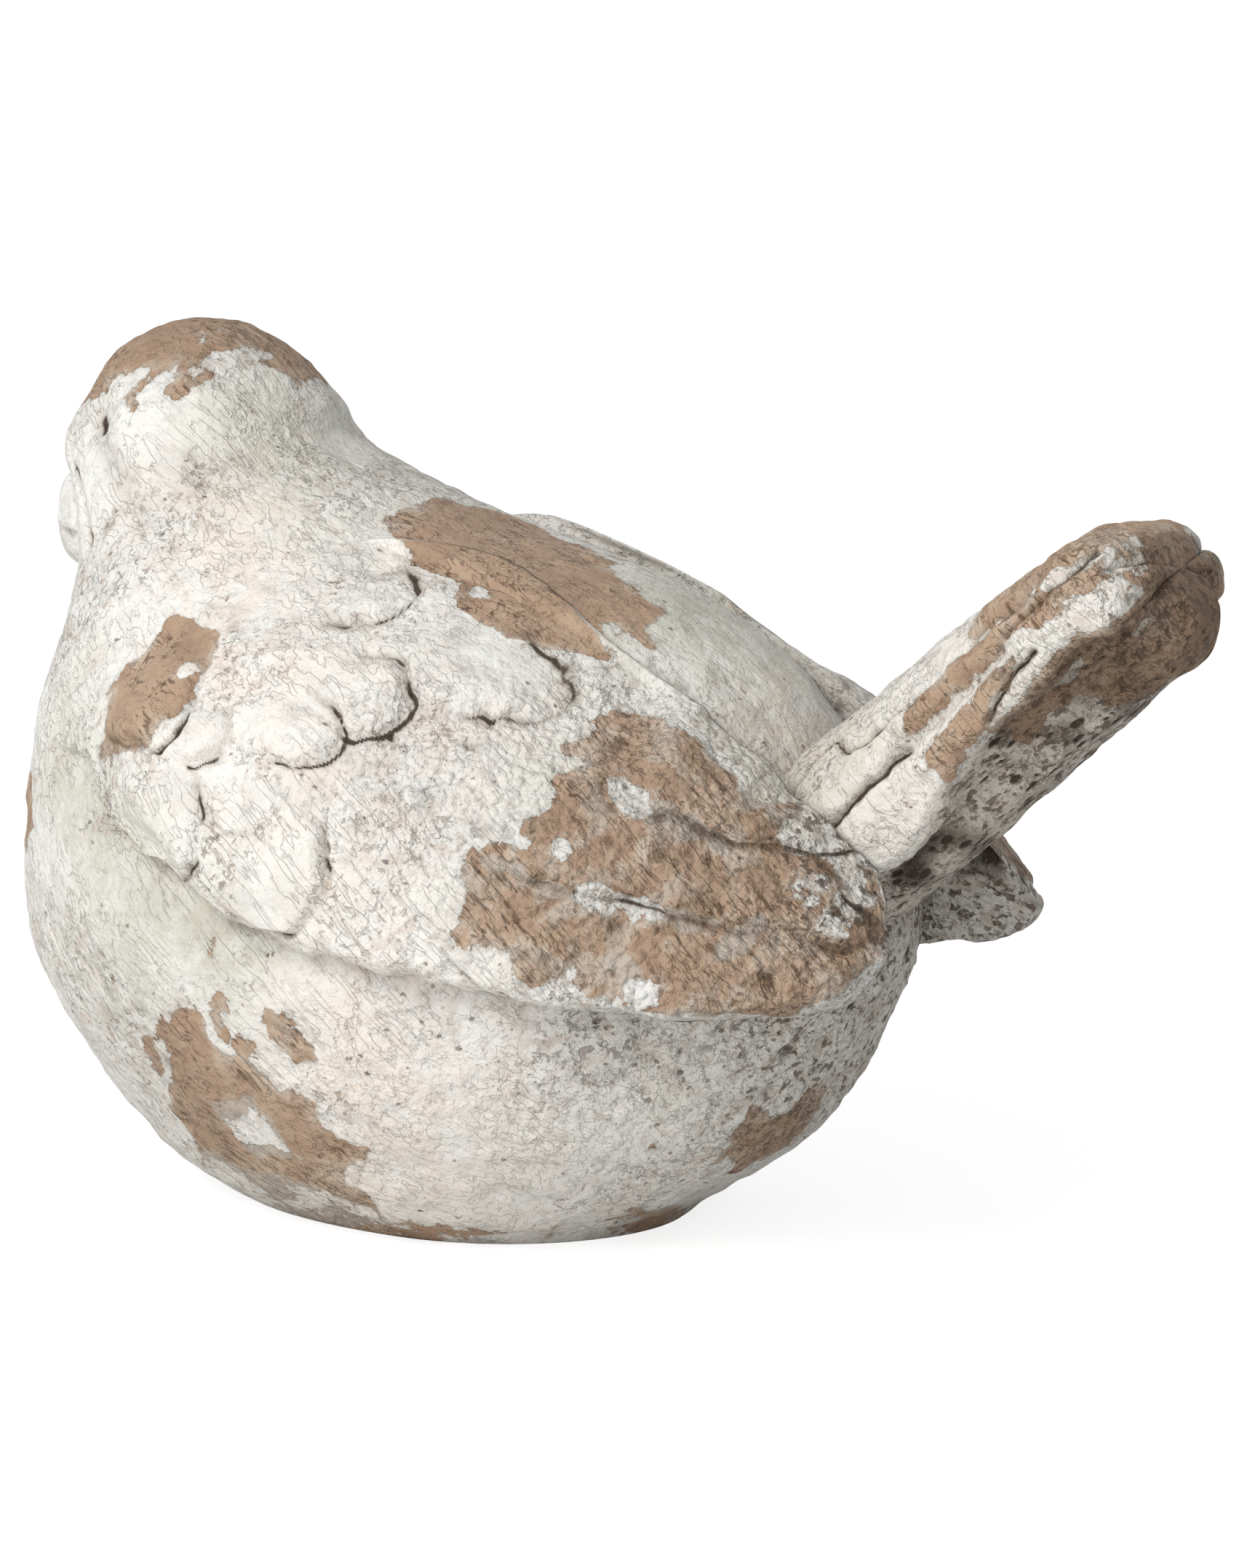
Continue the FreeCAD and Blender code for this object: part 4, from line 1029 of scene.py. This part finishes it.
# Colours laid over each other: the share that shows, and the colour
CHALK_LAYERS = [
    ("warm", "#DEDBD4"), ("creamy", "#E2D6CA"), ("greenish", "#C3C2B4"), ("dust", "#AE9F90"),
    ("hollow", "#B9A595"), ("brushed", "#B8AB9D"), ("cracked", "#93836F"), ("lined", "#93836F"),
    ("grimy", "#7A6C5C"), ("black", "#3E342A"), ("rimmed", "#B4ADA2"),
]
CLAY_LAYERS = [
    ("light clay", "#BAA28A"), ("dark clay", "#9D826B"), ("gouged clay", "#634A36"),
    ("lined clay", "#5E4733"), ("chalky clay", "#C9C0B4"), ("filmed", "#B9B1A5"),
    ("greyed", "#C4BBAF"), ("stained", "#7D6048"), ("grimy clay", "#57432F"),
]
# The clay shows where the chalk is worn, and the holes lie over both.
TOP_LAYERS = [
    ("worn", "clay"), ("pinhole colour", "#54483C"), ("speck colour", "#6B5846"), ("eaten colour", "#5A4A3B"),
]


def chalk_coat(node, chalk="#E1E0DC", clay="#AC917B", pit_tilt=0.0):
    """Gesso-like chalk coat brushed over fired clay, rubbed through in patches: matt, dusty, pinholed,
    with a thin raised rim where it has flaked, and dirt and painted shade darkening its hollows."""
    place = node("TexCoord")["Object"]
    maps = {"plain": place}
    # the brush's path is bent and drawn out; holes are shaken out of round and drawn out a little
    for key, scale, swing, tilt, stretch in (
        ("brushed", 22.0, 0.012, -0.75, 9.0),
        ("shaken", 900.0, 0.0016, pit_tilt, 1.6),
    ):
        cloud = node("TexNoise", {"Vector": place, "Scale": scale, "Detail": 2.0})["Color"]
        moved = node("VectorMath", (cloud, (swing, swing, swing), place), operation="MULTIPLY_ADD")[0]
        turned = {"Vector": moved, "Rotation": (tilt, 0.0, 0.0), "Scale": (1.0, stretch, 1.0)}
        maps[key] = node("Mapping", turned, vector_type="TEXTURE")[0]

    found = {}
    for key in ("bare", "dirt", "green", "cream", "pitted", "film", "clean"):
        found[key] = node("Attribute", attribute_name=key)["Fac"]
    found["stippled"] = node("Attribute", attribute_name="stipple")["Fac"]
    for key, (grain, detail, roughness, vector) in COAT_NOISES.items():
        found[key] = node("TexNoise", {
            "Vector": maps[vector],
            "Scale": 1.0 / (grain * MM),
            "Detail": detail,
            "Roughness": roughness,
        })["Fac"]
    for key, spacing in HOLE_SPACINGS.items():
        cells = node("TexVoronoi", {"Vector": maps["shaken"], "Scale": 1.0 / (spacing * MM)})
        draws = node("SeparateColor", (cells["Color"],))
        found.update({key + " gap": cells["Distance"], key + " draw": draws[0], key + " size": draws[1]})
    found["popcorn"] = node("TexVoronoi", {"Vector": place, "Scale": 1.0 / (POPCORN_GRAIN * MM)})["Distance"]

    def solved(item):
        """A number, what was found under a name, or the result of a step."""
        if isinstance(item, str):
            return found[item]
        if isinstance(item, float):
            return item
        values = [solved(part) for part in item[1:]]
        if item[0] == "RANGE":
            return node("MapRange", values, interpolation_type="SMOOTHSTEP")[0]
        return node("Math", values, operation=item[0])[0]

    for key, step in COAT_STEPS:
        found[key] = solved(step)
    for key, depth in COAT_RELIEF:
        found["relief"] = solved(("MULTIPLY_ADD", key, depth, "relief"))

    found["chalk"], found["clay"] = linear(chalk), linear(clay)
    for key, layers in (("chalk", CHALK_LAYERS), ("clay", CLAY_LAYERS), ("chalk", TOP_LAYERS)):
        for share, colour in layers:
            second = found[colour] if colour in found else linear(colour)
            inputs = {MIX_SHARE: found[share], MIX_FIRST: found[key], MIX_SECOND: second}
            found[key] = node("Mix", inputs, data_type="RGBA")[MIX_RESULT]
    # chalk bound with glue: gypsum's IOR, nearly matt
    return {
        "Base Color": found["chalk"],
        "Normal": node("Bump", {"Strength": 1.0, "Distance": MM, "Height": found["relief"]})[0],
        "IOR": 1.52,
        "Roughness": 0.72,
        "Specular IOR Level": 0.35,
    }


def cast_plaster(node):
    """Plain cast plaster of the plug: off-white, matt, with fine air holes."""
    place = node("TexCoord")["Object"]
    cloud = node("TexNoise", {"Vector": place, "Scale": 150.0, "Detail": 6.0})["Fac"]
    grain = node("TexNoise", {"Vector": place, "Scale": 900.0, "Detail": 3.0})["Fac"]
    colours = {MIX_SHARE: cloud, MIX_FIRST: linear("#DAD3C8"), MIX_SECOND: linear("#BFB3A4")}
    return {
        "Base Color": node("Mix", colours, data_type="RGBA")[MIX_RESULT],
        "Normal": node("Bump", {"Strength": 0.6, "Distance": 0.0004, "Height": grain})[0],
        "IOR": 1.52,
        "Roughness": 0.85,
    }


def drawn_steel(node):
    """Bare mild steel bar, drawn: grey and plain, a little rust-stained by the wet plaster."""
    place = node("TexCoord")["Object"]
    stain = node("TexNoise", {"Vector": place, "Scale": 120.0, "Detail": 5.0})["Fac"]
    share = node("MapRange", {"Value": stain, "From Min": 0.5, "From Max": 0.7})[0]
    colours = {MIX_SHARE: share, MIX_FIRST: linear("#8C8B88"), MIX_SECOND: linear("#7A5138")}
    return {
        "Base Color": node("Mix", colours, data_type="RGBA")[MIX_RESULT],
        "Roughness": node("MapRange", {"Value": stain, "To Min": 0.35, "To Max": 0.7})[0],
        "Metallic": 1.0,
    }


def paper_sweep(node):
    """Matt white paper, lit so evenly that the camera sees it as plain white."""
    rays = node("LightPath")["Is Camera Ray"]
    colours = {MIX_SHARE: rays, MIX_FIRST: linear("#EEEDEB"), MIX_SECOND: linear("#A0A0A0")}
    return {
        "Base Color": node("Mix", colours, data_type="RGBA")[MIX_RESULT],
        "Emission Color": (1.0, 1.0, 1.0, 1.0),
        "Emission Strength": node("Math", (rays, 0.80), operation="MULTIPLY")[0],
        "Roughness": 0.9,
    }


def dress(piece, finished, slot, *nodes):
    """Gives a new piece its finish, hangs it from the root body and hides the CAD nodes it stands for."""
    piece.data.materials.append(finished)
    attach(piece, "root")
    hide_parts(*nodes)


def studio():
    """A white sweep with soft light: a large lamp high on the left, a weaker one low on the same side."""
    line = np.linspace(-9.0, 9.0, 40)
    across, ahead = np.meshgrid(line, line, indexing="ij")
    points = np.stack([across, ahead, 0.0 * across], axis=-1).reshape(-1, 3)
    count = len(line)
    row, column = np.meshgrid(np.arange(count - 1), np.arange(count - 1), indexing="ij")
    first = row * count + column
    faces = np.stack([first, first + count, first + count + 1, first + 1], axis=-1).reshape(-1, 4)
    sheet = bpy.data.meshes.new("studio_floor")
    sheet.from_pydata(points.tolist(), [], faces.tolist())
    sheet.materials.append(material("Matt white paper sweep", paper_sweep))
    floor = put_in_scene("studio_floor", sheet)

    world = bpy.data.worlds.new("studio_world")
    bpy.context.scene.world = world
    world.use_nodes = True
    tree = world.node_tree
    path = add_node(tree, "LightPath")
    seen = add_node(tree, "Math", (path["Is Camera Ray"], path["Is Glossy Ray"]), operation="MAXIMUM")[0]
    feed(tree, tree.nodes["Background"], {
        "Color": (1.0, 1.0, 1.0, 1.0),
        "Strength": add_node(tree, "MapRange", {"Value": seen, "To Min": 0.48, "To Max": 1.0})[0],
    })

    middle = Vector((0.0, 0.02, 0.10))
    for name, place, wide, power in (
        ("key_lamp", (1.25, -0.08, 1.18), 0.8, 15.8),
        ("fill_lamp", (1.4, 0.1, 0.12), 1.2, 10.0),
    ):
        lamp = bpy.data.lights.new(name, "AREA")
        lamp.shape = "DISK"
        lamp.size = wide
        lamp.energy = power
        holder = put_in_scene(name, lamp)
        holder.location = place
        holder.rotation_euler = (middle - Vector(place)).to_track_quat("-Z", "Y").to_euler()


def camera():
    """The photograph's view: from behind on the left, a little above, 1.4 m away with a long lens."""
    azimuth, elevation, distance = math.radians(122.0), math.radians(9.0), 1.4
    target = Vector((0.0, 0.045, 0.1023))
    lens = bpy.data.cameras.new("photo_camera")
    lens.sensor_width = 36.0
    lens.lens = 140.26
    lens.clip_end = 50.0
    holder = put_in_scene("photo_camera", lens)
    level = math.cos(elevation)
    away = Vector((math.sin(azimuth) * level, -math.cos(azimuth) * level, math.sin(elevation)))
    holder.location = target + away * distance
    holder.rotation_euler = (-away).to_track_quat("-Z", "Y").to_euler()
    bpy.context.scene.camera = holder


bpy.context.scene.view_settings.view_transform = "Standard"
camera()
studio()

for shape, words, slot, cad_name, choices in (
    (torso(), "body", "chalk_body", "body_casting", {}),
    (head(), "head", "chalk_head", "head_casting", {}),
    (beak_surface(), "beak", "chalk_beak", "beak", {}),
    (wing("left_wing_surface", 1.0), "left wing", "chalk_left_wing", "left_wing", {}),
    (wing("right_wing_surface", -1.0), "right wing", "chalk_right_wing", "right_wing", {}),
    (tail(), "tail", "chalk_tail", "tail_casting", {"chalk": "#DFDBD4", "pit_tilt": 0.6}),
):
    dress(shape, material("Chalk coat on clay, " + words, chalk_coat, **choices), slot, cad_name)

nodes = frame["nodes"]
nodes["pour_hole_plug"].material_slots[0].material = material("Cast plaster, plug", cast_plaster)
nodes["tail_rod"].material_slots[0].material = material("Drawn steel, tail rod", drawn_steel)
